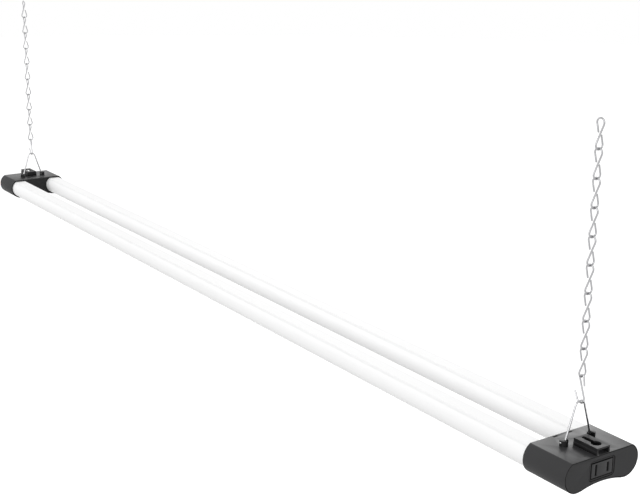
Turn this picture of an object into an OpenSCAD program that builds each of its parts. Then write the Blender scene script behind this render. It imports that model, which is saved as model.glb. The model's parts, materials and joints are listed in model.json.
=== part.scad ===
// Hanging double-tube LED shop light: two end caps joined by two lit tubes, an outlet in
// one cap, the driver in the other, and a wire bail, an S hook and a jack chain on each cap.
// +X runs to the outlet end and +Z up. The origin lies midway between the two keyholes,
// on the plane of the keyhole brackets' tops.

/* [Overall] */
// Length over both end caps
overall_l = 1160; // [700:1:1500]
// Distance between the centres of the two tubes
tube_pitch = 52; // [50:0.5:60]

/* [End caps] */
// Wall of the cap's skin
cap_wall = 1.5; // [1.2:0.1:1.7]
// Wall of the cap's outer end
end_wall = 2.4; // [2:0.1:3]
// Gap between a tube's round side and the cap's skin
cap_side_gap = 0.3; // [0.2:0.05:0.5]
// Gap between a tube's flat top and the cap's skin
cap_top_gap = 0.7; // [0.5:0.01:1.2]
// How far the arched underside rises above the cap's lowest line
arch_rise = 3.4; // [2.6:0.1:4]
// How far the diffusers reach into a cap
diffuser_in = 7; // [6:0.5:8]
// How much further the rails reach, to their screws
rail_room = 10; // [9:0.5:12]
// Length from the rails' ends to the cap's end, for the outlet or the driver
end_room = 28.3; // [25:0.1:34]

/* [Tubes] */
// Radius of a tube
tube_r = 12; // [11:0.1:13.5]
// Width of the flat strip along the top of a tube
tube_flat_w = 13.5; // [12.5:0.1:14.5]
// Wall of the frosted diffuser
diffuser_wall = 1; // [0.8:0.1:1.2]
// Thickness of the rail's top plate
rail_plate = 1.2; // [1:0.1:1.5]
// Thickness of the rail's two legs
rail_leg = 0.8; // [0.7:0.1:1]
// Height of the wire space between the rail's plate and the board
rail_cavity = 2.6; // [2.5:0.1:3]

/* [Light boards] */
// Width of a light board
led_board_w = 9.4; // [8.8:0.1:9.6]
// Thickness of a light board
led_board_t = 1; // [0.8:0.1:1.2]
// Number of emitters on a board
led_count = 44; // [20:1:60]
// Length of an emitter
led_l = 3.5; // [2.8:0.1:5]
// Width of an emitter
led_w = 2.8; // [2:0.1:3.5]
// Thickness of an emitter
led_t = 0.8; // [0.5:0.1:1]

/* [Keyhole brackets] */
// Length of a keyhole bracket
bracket_l = 24.8; // [22:0.1:25]
// Width of a keyhole bracket
bracket_w = 14.2; // [13:0.1:16]
// Height of a keyhole bracket above the cap
bracket_h = 5.8; // [5.6:0.1:7]
// Thickness of the bracket's top plate
bracket_plate = 1.4; // [1:0.1:1.4]
// Thickness of the bracket's side walls
bracket_wall = 1.4; // [1.2:0.1:1.6]
// Diameter of the keyhole's round head
key_head_d = 8.2; // [7.5:0.1:9]
// Width of the keyhole's slot
key_slot_w = 3.8; // [3:0.1:4.5]
// Distance of the round head's centre from the cap's end
key_head_in = 8; // [6.5:0.1:9]
// Distance of the slot's tip from the bracket's inner end
key_tip_gap = 2.5; // [1.8:0.1:4]

/* [Bails] */
// Diameter of the bail's wire
bail_d = 1.7; // [1.4:0.1:2]
// Distance of the bail from the cap's end
bail_in = 27.2; // [26:0.1:29]
// Height of the bail's pivot above the cap
bail_pivot_h = 3.2; // [2.8:0.1:3.4]
// Height of the bail's peak above the cap
bail_peak_h = 34.2; // [30:0.1:40]
// Bend radius of the bail's peak
bail_peak_r = 5; // [4:0.1:6]
// Diameter of a pivot post
post_d = 7; // [6.4:0.1:7.4]
// Height of a pivot post
post_h = 4.9; // [4.7:0.1:6]
// Distance of a pivot post's centre from the middle
post_y = 14.8; // [14.4:0.1:17]
// Thickness of a post's inner cheek, between its round side and its slot
post_cheek = 0.6; // [0.5:0.05:0.8]

/* [S hooks] */
// Diameter of the hook's wire
hook_d = 1.5; // [1.2:0.1:1.8]
// Radius of the lower bend, which holds the bail
hook_low_r = 3.7; // [3.2:0.1:4.2]
// Radius of the upper bend, which holds the chain
hook_high_r = 2.2; // [2:0.1:3]
// Height of the hook between the middles of its bends
hook_h = 22.9; // [20:0.1:28]

/* [Chains] */
// Diameter of the chain's wire
chain_d = 1.45; // [1.2:0.05:1.6]
// Distance from one link's contact to the next
chain_pitch = 22.1; // [20:0.1:26]
// Radius of the round end of a link's loop
link_r = 3.5; // [3.2:0.1:4]

/* [Outlet] */
// Width of the outlet insert's face
outlet_w = 22.2; // [21:0.1:23]
// Height of the outlet insert's face
outlet_h = 11.7; // [11.3:0.1:12.4]
// Width of the recessed panel round the insert
panel_w = 27.7; // [26:0.1:30]
// Height of the recessed panel round the insert
panel_h = 16.8; // [16:0.1:17.6]
// Corner radius of the recessed panel
panel_r = 3; // [2:0.1:4]
// Distance between the two blade slots
slot_pitch = 12.7; // [12:0.1:13.5]
// Width of a blade slot
slot_w = 2.2; // [1.8:0.1:2.4]
// Height of the taller, neutral slot
slot_tall = 9.4; // [8.4:0.1:9.6]
// Height of the shorter, live slot
slot_short = 7.9; // [6.8:0.1:8.2]

/* [Cord inlet] */
// Diameter of the bore that takes the cord
gland_bore_d = 7; // [6:0.1:7.6]
// Outer diameter of the gland's sleeve
gland_d = 10; // [9.5:0.1:10.5]
// Diameter of the gland's flange
gland_flange_d = 14; // [12.5:0.1:15]
// How far the gland's sleeve reaches behind the end wall
gland_in = 4; // [3:0.1:5]

/* [Driver] */
// Length of the driver board across the light
driver_w = 61; // [58:0.5:64]
// Thickness of the driver board
driver_t = 1.6; // [1:0.1:1.6]
// Diameter of an insulated mains wire
wire_d = 2; // [1.6:0.1:2]
// Diameter of an insulated light-board lead
lead_d = 1.2; // [1:0.1:1.2]

/* [Fits] */
// Gap round a bail's foot in its post
pin_gap = 0.08; // [0.05:0.01:0.1]
// Gap between a bail's leg and its post
side_gap = 0.3; // [0.3:0.05:0.6]
// Gap between two wires that hang in each other
hang_gap = 0.15; // [0.1:0.05:0.3]
// Gap between parts that slide or clip together
slide_gap = 0.15; // [0.1:0.05:0.2]
// Gap round a screw's shank
screw_gap = 0.05; // [0.03:0.01:0.1]

/* [Hidden] */
rail_in = diffuser_in + rail_room;
cap_l = rail_in + end_room;
end_x = overall_l / 2;
rim_x = end_x - cap_l;
flat_v = sqrt(pow(tube_r, 2) - pow(tube_flat_w / 2, 2));
cap_r = tube_r + cap_side_gap + cap_wall;
cap_rise = flat_v + cap_top_gap + cap_wall;
cap_drop = cap_r - arch_rise;
cap_top = -bracket_h;
tube_z = cap_top - cap_rise;
bail_x = end_x - bail_in;
half_pitch = tube_pitch / 2;
key_tip_in = bracket_l - key_tip_gap;
// The arch under a cap runs just short of touching the two round sides
arch_touch_r = (pow(half_pitch, 2) + pow(cap_drop, 2) - pow(cap_r, 2)) / (2 * (cap_r - cap_drop));
arch_share = 0.92;
arch_r = arch_share * arch_touch_r;
belly_share = (cap_drop + arch_touch_r) / (cap_r + arch_touch_r);
past = 1;
fine = 72;
weld = 0.06;
tongue_x = end_x - bracket_l / 2;
tongue_l = 6;
tongue_t = 0.9;
tongue_hook = 0.6;
tongue_root = 0.5;

// Tube section, heights from the tube's centre
plate_under_v = flat_v - rail_plate;
board_top_v = plate_under_v - rail_cavity;
board_under_v = board_top_v - led_board_t;
shelf_top_v = board_under_v - slide_gap;
shelf_t = 0.8;
rail_foot_v = shelf_top_v - shelf_t;
leg_in_y = led_board_w / 2 + slide_gap;
leg_out_y = leg_in_y + rail_leg;
toe_t = 0.9;
toe_reach = 1.2;
toe_out_y = leg_out_y + toe_reach;
shelf_reach = 0.6;
shelf_in_y = leg_in_y - shelf_reach;
hook_lip_t = 0.8;
hook_lip_v = rail_foot_v + toe_t + slide_gap;
tube_in_gap = 0.5;

// Carrier inside a cap, lengths from the rim
carrier_recess = 1.2;
carrier_plate_t = 2;
carrier_flat_gap = 1;
carrier_half_w = half_pitch - tube_flat_w / 2 - carrier_flat_gap;
carrier_floor_v = -7.6;
carrier_floor_t = 1.5;
carrier_half_floor = 9;
carrier_wall_t = 1.5;
carrier_l = rail_in + 1;
lug_near = diffuser_in + 2;
lug_far = rail_in - 1;
lug_t = 3;
lug_top_v = rail_foot_v - screw_gap;
lug_past_screw = 5;
lug_out_y = half_pitch + lug_past_screw;
rail_screw_in = (lug_near + lug_far) / 2;
snap_y = 7.6;
snap_w = 4.6;
snap_t = 1.4;
snap_in = carrier_recess + 0.3;
snap_down = 0.5;

// Screws
screw_d = 3;
screw_head_d = 5.6;
screw_head_t = 1.6;
boss_d = 6.5;
boss_over = 0.1;
boss_edge = 0.5;
cap_screw_in = [carrier_recess + boss_edge + boss_d / 2, carrier_l - boss_edge - boss_d / 2];
head_drop = 0.08;
board_screw_d = 2;
board_screw_head_d = 3.8;
board_screw_head_t = 1.4;
board_screw_l = 5;
standoff_d = 5;
bore_room = 0.2;
rail_screw_short = 0.3;

// Bail, seen along the light: [across, height above the cap]
foot_past = 0.9;
foot_out_y = post_y + post_d / 2 + foot_past;
// Room that a leaning leg takes up inside its post's slot as it turns
leg_room = 0.65;
slot_in_y = post_y - post_d / 2 + post_cheek;
leg_y = slot_in_y + leg_room + bail_d / 2 + side_gap;
slot_out_y = leg_y + bail_d / 2 + side_gap;
slot_low_h = bail_pivot_h - bail_d / 2 - side_gap;
peak_c = bail_peak_h - bail_peak_r;
leg_reach = norm([leg_y, peak_c - bail_pivot_h]);
leg_lean = atan2(leg_y, peak_c - bail_pivot_h) - asin(bail_peak_r / leg_reach);
leg_l = sqrt(pow(leg_reach, 2) - pow(bail_peak_r, 2));

// Heights above the cap where the wires hang in each other
hook_low_h = bail_peak_h - bail_d / 2 - hook_d / 2 - hang_gap;
hook_high_h = hook_low_h + hook_h;
chain_low_h = hook_high_h - hook_d / 2 - chain_d / 2 - hang_gap;
link_h = chain_pitch + chain_d + hang_gap;
link_count = 9;
hook_low_tail = [2.7, 4.6];
hook_high_tail = [1, 6.2];
link_tail = [1.5, 0.6];
link_droop = 25;
wire_sides = 8;
bend_steps = 9;

// Cord gland
gland_flange_t = 1;
gland_ring_t = 1.2;
gland_ring_over = 1.6;

// Outlet
panel_deep = 0.4;
insert_gap = 0.7;
insert_sunk = 0.2;
flange_t = 1.5;
flange_over = 1.6;
cage_past = 1;
cage_side = 3;
cage_w = slot_pitch + 2 * cage_side;
cage_over = 1.2;
cage_h = slot_tall + 2 * cage_over;
pocket_w = 3;
leaf_t = 0.5;
leaf_gap = 1.6;
leaf_l = 12.5;
leaf_h = 6.6;
tail_l = 2.5;
tail_t = 1;
leaf_in = 0.6;
leaf_front_x = end_x - end_wall - flange_t - leaf_in;
leaf_back_x = leaf_front_x - leaf_l;
contact_tail_x = leaf_back_x - leaf_t - tail_l;
cage_back_x = leaf_back_x - leaf_t - cage_past;

// Driver, heights from the tubes' centres and lengths from the cap's rim
driver_top_v = -5.8;
driver_near = rail_in + 1.5;
driver_end_gap = 0.6;
driver_far = cap_l - end_wall - driver_end_gap;
standoff_in = 3.5;
standoff_y = 20;
standoff_at = [[driver_near + standoff_in, -standoff_y], [driver_far - standoff_in, -standoff_y],
               [driver_near + standoff_in, standoff_y]];
terminal_y = 12.5;
terminal_w = 10;
terminal_near = driver_near + 1.1;
terminal_l = 8;
terminal_h = 9;
terminal_pitch = 5;
terminal_bore_d = 2.6;
transformer_y = -8;
transformer_w = 15;
transformer_l = 13;
transformer_h = 6.6;
transformer_in = driver_near + 1.2;
capacitor_y = -26;
capacitor_d = 8;
capacitor_h = 11;
capacitor_in = driver_near + 12;
smoother_y = 27;
smoother_d = 6.3;
smoother_h = 8;
smoother_in = driver_near + 14;
fuse_y = 19.8;
fuse_d = 3.6;
fuse_l = 8;
fuse_in = driver_near + 14;
wire_leg_gap = 0.7;
wire_off_y = leg_in_y - wire_d / 2 - wire_leg_gap;
wire_v = plate_under_v - rail_cavity / 2;
lead_off_y = 3;
lead_v = board_top_v - led_board_t / 2;
lead_turn = 2.3;
lead_turn_x = -rim_x - rail_in - lead_turn;
wire_step = 2.4;
terminal_edge = wire_d / 2 + 1;
tail_lead = 1.3;
outlet_turn_x = contact_tail_x - tail_lead;

// ---------- helpers ----------

// Stands a section drawn as [across, up from the tube centres] along X
module along_x(from_x, length) {
    translate([from_x, 0, tube_z]) rotate([90, 0, 90]) linear_extrude(length) children();
}

module at_cord_end() {
    mirror([1, 0, 0]) children();
}

module both_sides() {
    children();
    mirror([0, 1, 0]) children();
}

module block(from, to) {
    translate(from) cube(to - from);
}

module upright(x, y, z, length, diameter) {
    translate([x, y, z]) cylinder(h = length, d = diameter, $fn = fine);
}

// A straight wire between two points
module rod(a, b, diameter) {
    way = b - a;
    length = norm(way);
    translate(a) rotate([0, acos(way[2] / length), atan2(way[1], way[0])])
        cylinder(h = length, d = diameter, $fn = fine);
}

// An insulated wire that turns square corners
module wire_run(points, diameter) {
    corner_d = diameter + weld;
    for (i = [1:len(points) - 1]) rod(points[i - 1], points[i], diameter);
    for (i = [1:1:len(points) - 2]) translate(points[i]) sphere(d = corner_d, $fn = fine);
}

function unit(v) = v / norm(v);
function arc_points(centre, r, from, to, steps, across, up) =
    [for (i = [0:steps]) let (a = from + (to - from) * i / steps)
        centre + r * (cos(a) * across + sin(a) * up)];

// A bent wire through the points, with rings square to the way it runs
module bent_wire(points, diameter, side_hint) {
    last = len(points) - 1;
    rings = [for (i = [0:last])
        let (way = unit(points[min(i + 1, last)] - points[max(i - 1, 0)]),
             right = unit(cross(way, side_hint)), up = cross(way, right))
        for (s = [0:wire_sides - 1]) let (a = 360 * s / wire_sides)
            points[i] + diameter / 2 * (cos(a) * right + sin(a) * up)];
    faces = concat(
        [for (i = [0:last - 1], s = [0:wire_sides - 1])
            [i * wire_sides + s, i * wire_sides + (s + 1) % wire_sides,
             (i + 1) * wire_sides + (s + 1) % wire_sides]],
        [for (i = [0:last - 1], s = [0:wire_sides - 1])
            [i * wire_sides + s, (i + 1) * wire_sides + (s + 1) % wire_sides,
             (i + 1) * wire_sides + s]],
        [for (s = [1:wire_sides - 2]) [0, s + 1, s]],
        [for (s = [1:wire_sides - 2])
            [last * wire_sides, last * wire_sides + s, last * wire_sides + s + 1]]);
    polyhedron(points = rings, faces = faces);
}

// ---------- sections ----------

// Section of an end cap, drawn in by inset: flat top, round sides, arched underside
module cap_outline(inset) {
    r = cap_r - inset;
    reach = half_pitch + cap_r + past;
    belly = r * belly_share;
    difference() {
        union() {
            for (side = [-1, 1]) translate([side * half_pitch, 0]) circle(r = r, $fn = fine);
            translate([-half_pitch, -belly]) square([tube_pitch, belly + cap_rise - inset]);
        }
        translate([-reach, cap_rise - inset]) square([2 * reach, cap_r]);
        translate([0, -cap_drop - arch_r]) circle(r = arch_r + inset, $fn = 4 * fine);
    }
}

module diffuser_section() {
    inner_r = tube_r - diffuser_wall;
    lip_in = leg_out_y + slide_gap;
    difference() {
        circle(r = tube_r, $fn = fine);
        difference() {
            circle(r = inner_r, $fn = fine);
            for (side = [0, 1]) mirror([side, 0])
                translate([lip_in, hook_lip_v]) square([tube_r - lip_in, hook_lip_t]);
        }
        translate([-tube_r - past, plate_under_v - slide_gap]) square([2 * (tube_r + past), tube_r]);
    }
}

module rail_section() {
    intersection() {
        circle(r = tube_r, $fn = fine);
        translate([-tube_r, plate_under_v]) square([2 * tube_r, rail_plate]);
    }
    for (side = [0, 1]) mirror([side, 0]) {
        translate([leg_in_y, rail_foot_v])
            square([rail_leg, plate_under_v - rail_foot_v + rail_plate / 2]);
        translate([shelf_in_y, rail_foot_v]) square([leg_out_y - shelf_in_y, shelf_t]);
        translate([leg_in_y, rail_foot_v]) square([toe_out_y - leg_in_y, toe_t]);
    }
}

module rounded_panel(w, h, r) {
    for (x = [-1, 1], y = [-1, 1])
        translate([x * (w / 2 - r), y * (h / 2 - r)]) circle(r = r, $fn = fine);
    square([w, h - 2 * r], center = true);
    square([w - 2 * r, h], center = true);
}

// ---------- end caps ----------

module cap_shell_common() {
    post_root = cap_wall / 2;
    difference() {
        union() {
            difference() {
                along_x(rim_x, cap_l) cap_outline(0);
                along_x(rim_x - past, cap_l - end_wall + past) cap_outline(cap_wall);
            }
            both_sides() upright(bail_x, post_y, cap_top - post_root, post_h + post_root, post_d);
        }
        both_sides() {
            translate([bail_x, leg_y, cap_top + bail_pivot_h]) rotate([-90, 0, 0])
                cylinder(h = post_d, d = bail_d + 2 * pin_gap, $fn = fine);
            block([bail_x - post_d, slot_in_y, cap_top + slot_low_h],
                  [bail_x + post_d, slot_out_y, cap_top + post_h + past]);
            snap_window();
            bracket_tongue(slide_gap, past);
        }
        for (in = cap_screw_in)
            upright(rim_x + in, 0, tube_z - cap_drop - past, cap_wall + 2 * past,
                    screw_d + 2 * screw_gap);
    }
}

module snap_window() {
    block([rim_x + snap_in - slide_gap, snap_y - snap_w / 2 - slide_gap, cap_top - cap_wall - past],
          [rim_x + snap_in + snap_t + slide_gap, snap_y + snap_w / 2 + slide_gap, cap_top + past]);
}

module outlet_cap_shell() {
    color([0.24, 0.24, 0.245]) difference() {
        cap_shell_common();
        along_x(end_x - panel_deep, panel_deep + past) rounded_panel(panel_w, panel_h, panel_r);
        along_x(end_x - end_wall - past, end_wall + 2 * past)
            square([outlet_w + 2 * insert_gap, outlet_h + 2 * insert_gap], center = true);
    }
}

module cord_cap_shell() {
    pilot_d = board_screw_d + 2 * screw_gap;
    seat_z = tube_z + driver_top_v - driver_t;
    color([0.24, 0.24, 0.245]) at_cord_end() difference() {
        union() {
            cap_shell_common();
            for (at = standoff_at) intersection() {
                upright(rim_x + at[0], at[1], tube_z - cap_r, seat_z - tube_z + cap_r, standoff_d);
                along_x(rim_x, cap_l) cap_outline(cap_wall / 2);
            }
        }
        for (at = standoff_at)
            upright(rim_x + at[0], at[1], seat_z - board_screw_l + driver_t - bore_room,
                    board_screw_l, pilot_d);
        translate([end_x - end_wall - past, 0, tube_z]) rotate([0, 90, 0])
            cylinder(h = end_wall + 2 * past, d = gland_d + 2 * screw_gap, $fn = fine);
        translate([end_x - gland_flange_t, 0, tube_z]) rotate([0, 90, 0])
            cylinder(h = end_wall, d = gland_flange_d + 2 * slide_gap, $fn = fine);
    }
}

// Inner moulding of a cap: end plate between the tubes, snap tabs, floor and rail lugs
module carrier() {
    floor_z = tube_z + carrier_floor_v;
    plate_x = rim_x + carrier_recess;
    far_x = rim_x + carrier_l;
    boss_low = tube_z - cap_drop + cap_wall + boss_over;
    difference() {
        union() {
            along_x(plate_x, carrier_plate_t) difference() {
                intersection() {
                    cap_outline(cap_wall + slide_gap);
                    translate([-carrier_half_w, -2 * cap_r]) square([2 * carrier_half_w, 4 * cap_r]);
                }
                for (side = [-1, 1]) translate([side * half_pitch, 0])
                    circle(r = tube_r + slide_gap, $fn = fine);
            }
            both_sides() {
                block([rim_x + snap_in, snap_y - snap_w / 2, cap_top - cap_wall - past],
                      [rim_x + snap_in + snap_t, snap_y + snap_w / 2, cap_top - snap_down]);
                block([plate_x, carrier_half_floor - carrier_wall_t, floor_z],
                      [far_x, carrier_half_floor, tube_z + lug_top_v]);
                block([rim_x + lug_near, carrier_half_floor - carrier_wall_t,
                       tube_z + lug_top_v - lug_t],
                      [rim_x + lug_far, lug_out_y, tube_z + lug_top_v]);
            }
            block([plate_x, -carrier_half_floor, floor_z],
                  [far_x, carrier_half_floor, floor_z + carrier_floor_t]);
            for (in = cap_screw_in)
                upright(rim_x + in, 0, boss_low, floor_z + carrier_floor_t - boss_low, boss_d);
        }
        for (in = cap_screw_in)
            upright(rim_x + in, 0, boss_low - past, boss_d + past, screw_d + 2 * screw_gap);
        both_sides() upright(rim_x + rail_screw_in, half_pitch, tube_z + lug_top_v - lug_t - past,
                             lug_t + 2 * past, screw_d + 2 * screw_gap);
    }
}

module outlet_carrier() {
    color([0.17, 0.17, 0.175]) carrier();
}

module cord_carrier() {
    color([0.17, 0.17, 0.175]) at_cord_end() carrier();
}

// One of the two tongues that clip a keyhole bracket through the cap's top
module bracket_tongue(grow, extra) {
    tongue_y = bracket_w / 2 - bracket_wall / 2;
    half_l = tongue_l / 2 + grow;
    half_t = tongue_t / 2 + grow;
    block([tongue_x - half_l, tongue_y - half_t, cap_top - cap_wall - tongue_hook - extra],
          [tongue_x + half_l, tongue_y + half_t, cap_top + tongue_root + extra - grow]);
}

module keyhole_bracket() {
    inner_x = end_x - bracket_l;
    head_x = end_x - key_head_in;
    slot_x = end_x - key_tip_in + key_slot_w / 2;
    difference() {
        block([inner_x, -bracket_w / 2, cap_top], [end_x, bracket_w / 2, 0]);
        block([inner_x + bracket_wall, -bracket_w / 2 + bracket_wall, cap_top - past],
              [end_x + past, bracket_w / 2 - bracket_wall, -bracket_plate]);
        upright(head_x, 0, -bracket_plate - past, bracket_plate + 2 * past, key_head_d);
        upright(slot_x, 0, -bracket_plate - past, bracket_plate + 2 * past, key_slot_w);
        block([slot_x, -key_slot_w / 2, -bracket_plate - past], [head_x, key_slot_w / 2, past]);
    }
    both_sides() bracket_tongue(0, 0);
}

module outlet_keyhole_bracket() {
    color([0.2, 0.2, 0.205]) keyhole_bracket();
}

module cord_keyhole_bracket() {
    color([0.2, 0.2, 0.205]) at_cord_end() keyhole_bracket();
}

// Pan-head screw that points up, with its head's top face at z
module pan_screw(x, y, z, length, d, head_d, head_t) {
    difference() {
        union() {
            upright(x, y, z, length, d);
            upright(x, y, z - head_t, head_t, head_d);
        }
        upright(x, y, z - head_t - past, past + head_t / 2, d / 2);
    }
}

module rail_screws() {
    seat_z = tube_z + lug_top_v - lug_t - screw_gap;
    both_sides() pan_screw(rim_x + rail_screw_in, half_pitch, seat_z,
                           tube_z + flat_v - rail_screw_short - seat_z,
                           screw_d, screw_head_d, screw_head_t);
}

module cap_screws() {
    seat_z = tube_z - cap_drop - head_drop;
    for (in = cap_screw_in)
        pan_screw(rim_x + in, 0, seat_z, cap_drop + carrier_floor_v + carrier_floor_t,
                  screw_d, screw_head_d, screw_head_t);
}

module outlet_rail_screws() {
    color("silver") rail_screws();
}

module cord_rail_screws() {
    color("silver") at_cord_end() rail_screws();
}

module outlet_cap_screws() {
    color("silver") cap_screws();
}

module cord_cap_screws() {
    color("silver") at_cord_end() cap_screws();
}

// ---------- outlet ----------

module outlet_insert() {
    face_x = end_x - insert_sunk;
    back_x = end_x - end_wall;
    cage_x = back_x - screw_gap - flange_t;
    color([0.27, 0.27, 0.275]) difference() {
        union() {
            along_x(back_x - flange_t, face_x - back_x + flange_t)
                square([outlet_w, outlet_h], center = true);
            along_x(cage_x, flange_t)
                square([outlet_w + 2 * flange_over, outlet_h + 2 * flange_over], center = true);
            along_x(cage_back_x, cage_x - cage_back_x + flange_t)
                square([cage_w, cage_h], center = true);
        }
        for (side = [-1, 1]) {
            slot_h = side < 0 ? slot_tall : slot_short;
            along_x(back_x - flange_t - past, end_wall + flange_t + 2 * past)
                translate([side * slot_pitch / 2, 0]) square([slot_w, slot_h], center = true);
            along_x(cage_back_x - past, cage_x - cage_back_x + past)
                translate([side * slot_pitch / 2, 0]) square([pocket_w, slot_tall], center = true);
        }
    }
}

module outlet_contacts() {
    color([0.78, 0.62, 0.3]) for (side = [-1, 1]) translate([0, side * slot_pitch / 2, 0]) {
        for (leaf = [-1, 1]) {
            leaf_y = leaf > 0 ? leaf_gap / 2 : -leaf_gap / 2 - leaf_t;
            along_x(leaf_back_x, leaf_l) translate([leaf_y, -leaf_h / 2]) square([leaf_t, leaf_h]);
        }
        along_x(leaf_back_x - leaf_t, leaf_t) square([leaf_gap + 2 * leaf_t, leaf_h], center = true);
        along_x(contact_tail_x, tail_l) square([leaf_gap, tail_t], center = true);
    }
}

// ---------- cord inlet and driver ----------

module cord_gland() {
    sleeve_l = end_wall + gland_in;
    color([0.12, 0.12, 0.12]) at_cord_end()
        translate([end_x, 0, tube_z]) rotate([0, -90, 0]) difference() {
            union() {
                cylinder(h = gland_flange_t - screw_gap, d = gland_flange_d, $fn = fine);
                cylinder(h = sleeve_l, d = gland_d, $fn = fine);
                translate([0, 0, end_wall + screw_gap])
                    cylinder(h = gland_ring_t, d = gland_d + gland_ring_over, $fn = fine);
            }
            translate([0, 0, -past]) cylinder(h = sleeve_l + 2 * past, d = gland_bore_d, $fn = fine);
        }
}

module driver_board() {
    top_z = tube_z + driver_top_v;
    color([0.1, 0.4, 0.2]) at_cord_end() difference() {
        block([rim_x + driver_near, -driver_w / 2, top_z - driver_t],
              [rim_x + driver_far, driver_w / 2, top_z]);
        for (at = standoff_at)
            upright(rim_x + at[0], at[1], top_z - driver_t - past, driver_t + 2 * past,
                    board_screw_d + 4 * screw_gap);
    }
}

module driver_screws() {
    top_z = tube_z + driver_top_v + screw_gap;
    color("silver") at_cord_end() for (at = standoff_at) difference() {
        union() {
            upright(rim_x + at[0], at[1], top_z - board_screw_l, board_screw_l, board_screw_d);
            upright(rim_x + at[0], at[1], top_z, board_screw_head_t, board_screw_head_d);
        }
        upright(rim_x + at[0], at[1], top_z + board_screw_head_t / 2, board_screw_head_t,
                board_screw_d / 2);
    }
}

module driver_terminal() {
    low_z = tube_z + driver_top_v;
    color([0.15, 0.35, 0.6]) at_cord_end() difference() {
        block([rim_x + terminal_near, terminal_y - terminal_w / 2, low_z],
              [rim_x + terminal_near + terminal_l, terminal_y + terminal_w / 2, low_z + terminal_h]);
        for (pole = [-1, 1])
            translate([rim_x + terminal_near + terminal_l / 2, terminal_y + pole * terminal_pitch / 2,
                       low_z + terminal_h / 3])
                rotate([0, 90, 0]) cylinder(h = terminal_l, d = terminal_bore_d, $fn = fine);
    }
}

// Ferrite core round a wound bobbin
module driver_transformer() {
    low_z = tube_z + driver_top_v;
    near_x = rim_x + transformer_in;
    core_t = 3;
    color([0.75, 0.65, 0.2]) at_cord_end() {
        for (from = [0, transformer_l - core_t])
            block([near_x + from, transformer_y - transformer_w / 2, low_z],
                  [near_x + from + core_t, transformer_y + transformer_w / 2, low_z + transformer_h]);
        translate([near_x + core_t, transformer_y, low_z + transformer_h / 2]) rotate([0, 90, 0])
            cylinder(h = transformer_l - 2 * core_t, d = transformer_h, $fn = fine);
    }
}

module driver_capacitors() {
    low_z = tube_z + driver_top_v;
    color([0.15, 0.15, 0.3]) at_cord_end() {
        upright(rim_x + capacitor_in, capacitor_y, low_z, capacitor_h, capacitor_d);
        upright(rim_x + smoother_in, smoother_y, low_z, smoother_h, smoother_d);
    }
}

module driver_fuse() {
    low_z = tube_z + driver_top_v;
    leg_d = 0.6;
    cap_end = fuse_l / 2 - leg_d;
    color([0.85, 0.85, 0.8]) at_cord_end() {
        translate([rim_x + fuse_in, fuse_y, low_z + fuse_d]) rotate([0, 90, 0])
            cylinder(h = fuse_l, d = fuse_d, center = true, $fn = fine);
        for (way = [-1, 1])
            upright(rim_x + fuse_in + way * cap_end, fuse_y, low_z, fuse_d, leg_d);
    }
}

// ---------- tubes ----------

module at_tube(side) {
    translate([0, side * half_pitch, 0]) children();
}

module diffuser(side) {
    color([0.93, 0.93, 0.93]) at_tube(side)
        along_x(-rim_x - diffuser_in, 2 * (rim_x + diffuser_in)) diffuser_section();
}

module rail(side) {
    color([0.86, 0.86, 0.86]) at_tube(side) difference() {
        along_x(-rim_x - rail_in, 2 * (rim_x + rail_in)) rail_section();
        for (way = [-1, 1])
            upright(way * (rim_x + rail_screw_in), 0, tube_z, tube_r + past, screw_d + 2 * screw_gap);
    }
}

module led_board(side) {
    reach = rim_x + diffuser_in - tube_in_gap;
    color([0.9, 0.9, 0.86]) at_tube(side)
        block([-reach, -led_board_w / 2, tube_z + board_under_v],
              [reach, led_board_w / 2, tube_z + board_top_v - screw_gap]);
}

module leds(side) {
    step = 2 * rim_x / led_count;
    low_z = tube_z + board_under_v - led_t;
    color([0.98, 0.9, 0.6]) at_tube(side) for (i = [0:led_count - 1]) {
        x = -rim_x + (i + 0.5) * step;
        block([x - led_l / 2, -led_w / 2, low_z], [x + led_l / 2, led_w / 2, low_z + led_t]);
    }
}

module front_diffuser() {
    diffuser(-1);
}

module rear_diffuser() {
    diffuser(1);
}

module front_rail() {
    rail(-1);
}

module rear_rail() {
    rail(1);
}

module front_led_board() {
    led_board(-1);
}

module rear_led_board() {
    led_board(1);
}

module front_leds() {
    leds(-1);
}

module rear_leds() {
    leds(1);
}

// Live and neutral from the terminal through the rear rail to the outlet's contacts
module through_wires() {
    run_z = tube_z + wire_v;
    low_z = tube_z + driver_top_v + terminal_h;
    color([0.85, 0.85, 0.85]) for (i = [0, 1]) {
        y = half_pitch + (i == 0 ? -wire_off_y : wire_off_y);
        pole_y = terminal_y + (i == 0 ? terminal_pitch / 2 : -terminal_pitch / 2);
        slot_y = (i == 0 ? 1 : -1) * slot_pitch / 2;
        near_x = -rim_x - terminal_near - terminal_edge - i * wire_step;
        far_x = outlet_turn_x - (1 - i) * wire_step;
        wire_run([[near_x, pole_y, low_z], [near_x, pole_y, run_z], [near_x, y, run_z],
                  [far_x, y, run_z], [far_x, slot_y, run_z], [far_x, slot_y, tube_z],
                  [contact_tail_x, slot_y, tube_z]], wire_d);
    }
}

// Leads from the driver board to the light boards
module board_leads() {
    low_z = tube_z + driver_top_v;
    run_z = tube_z + lead_v;
    from_x = -rim_x - diffuser_in + tube_in_gap;
    color([0.7, 0.15, 0.12]) for (side = [-1, 1], off = [-lead_off_y, lead_off_y]) {
        y = side * half_pitch + off;
        wire_run([[from_x, y, run_z], [lead_turn_x, y, run_z], [lead_turn_x, y, low_z]], lead_d);
    }
}

// ---------- bails, hooks and chains ----------

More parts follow.
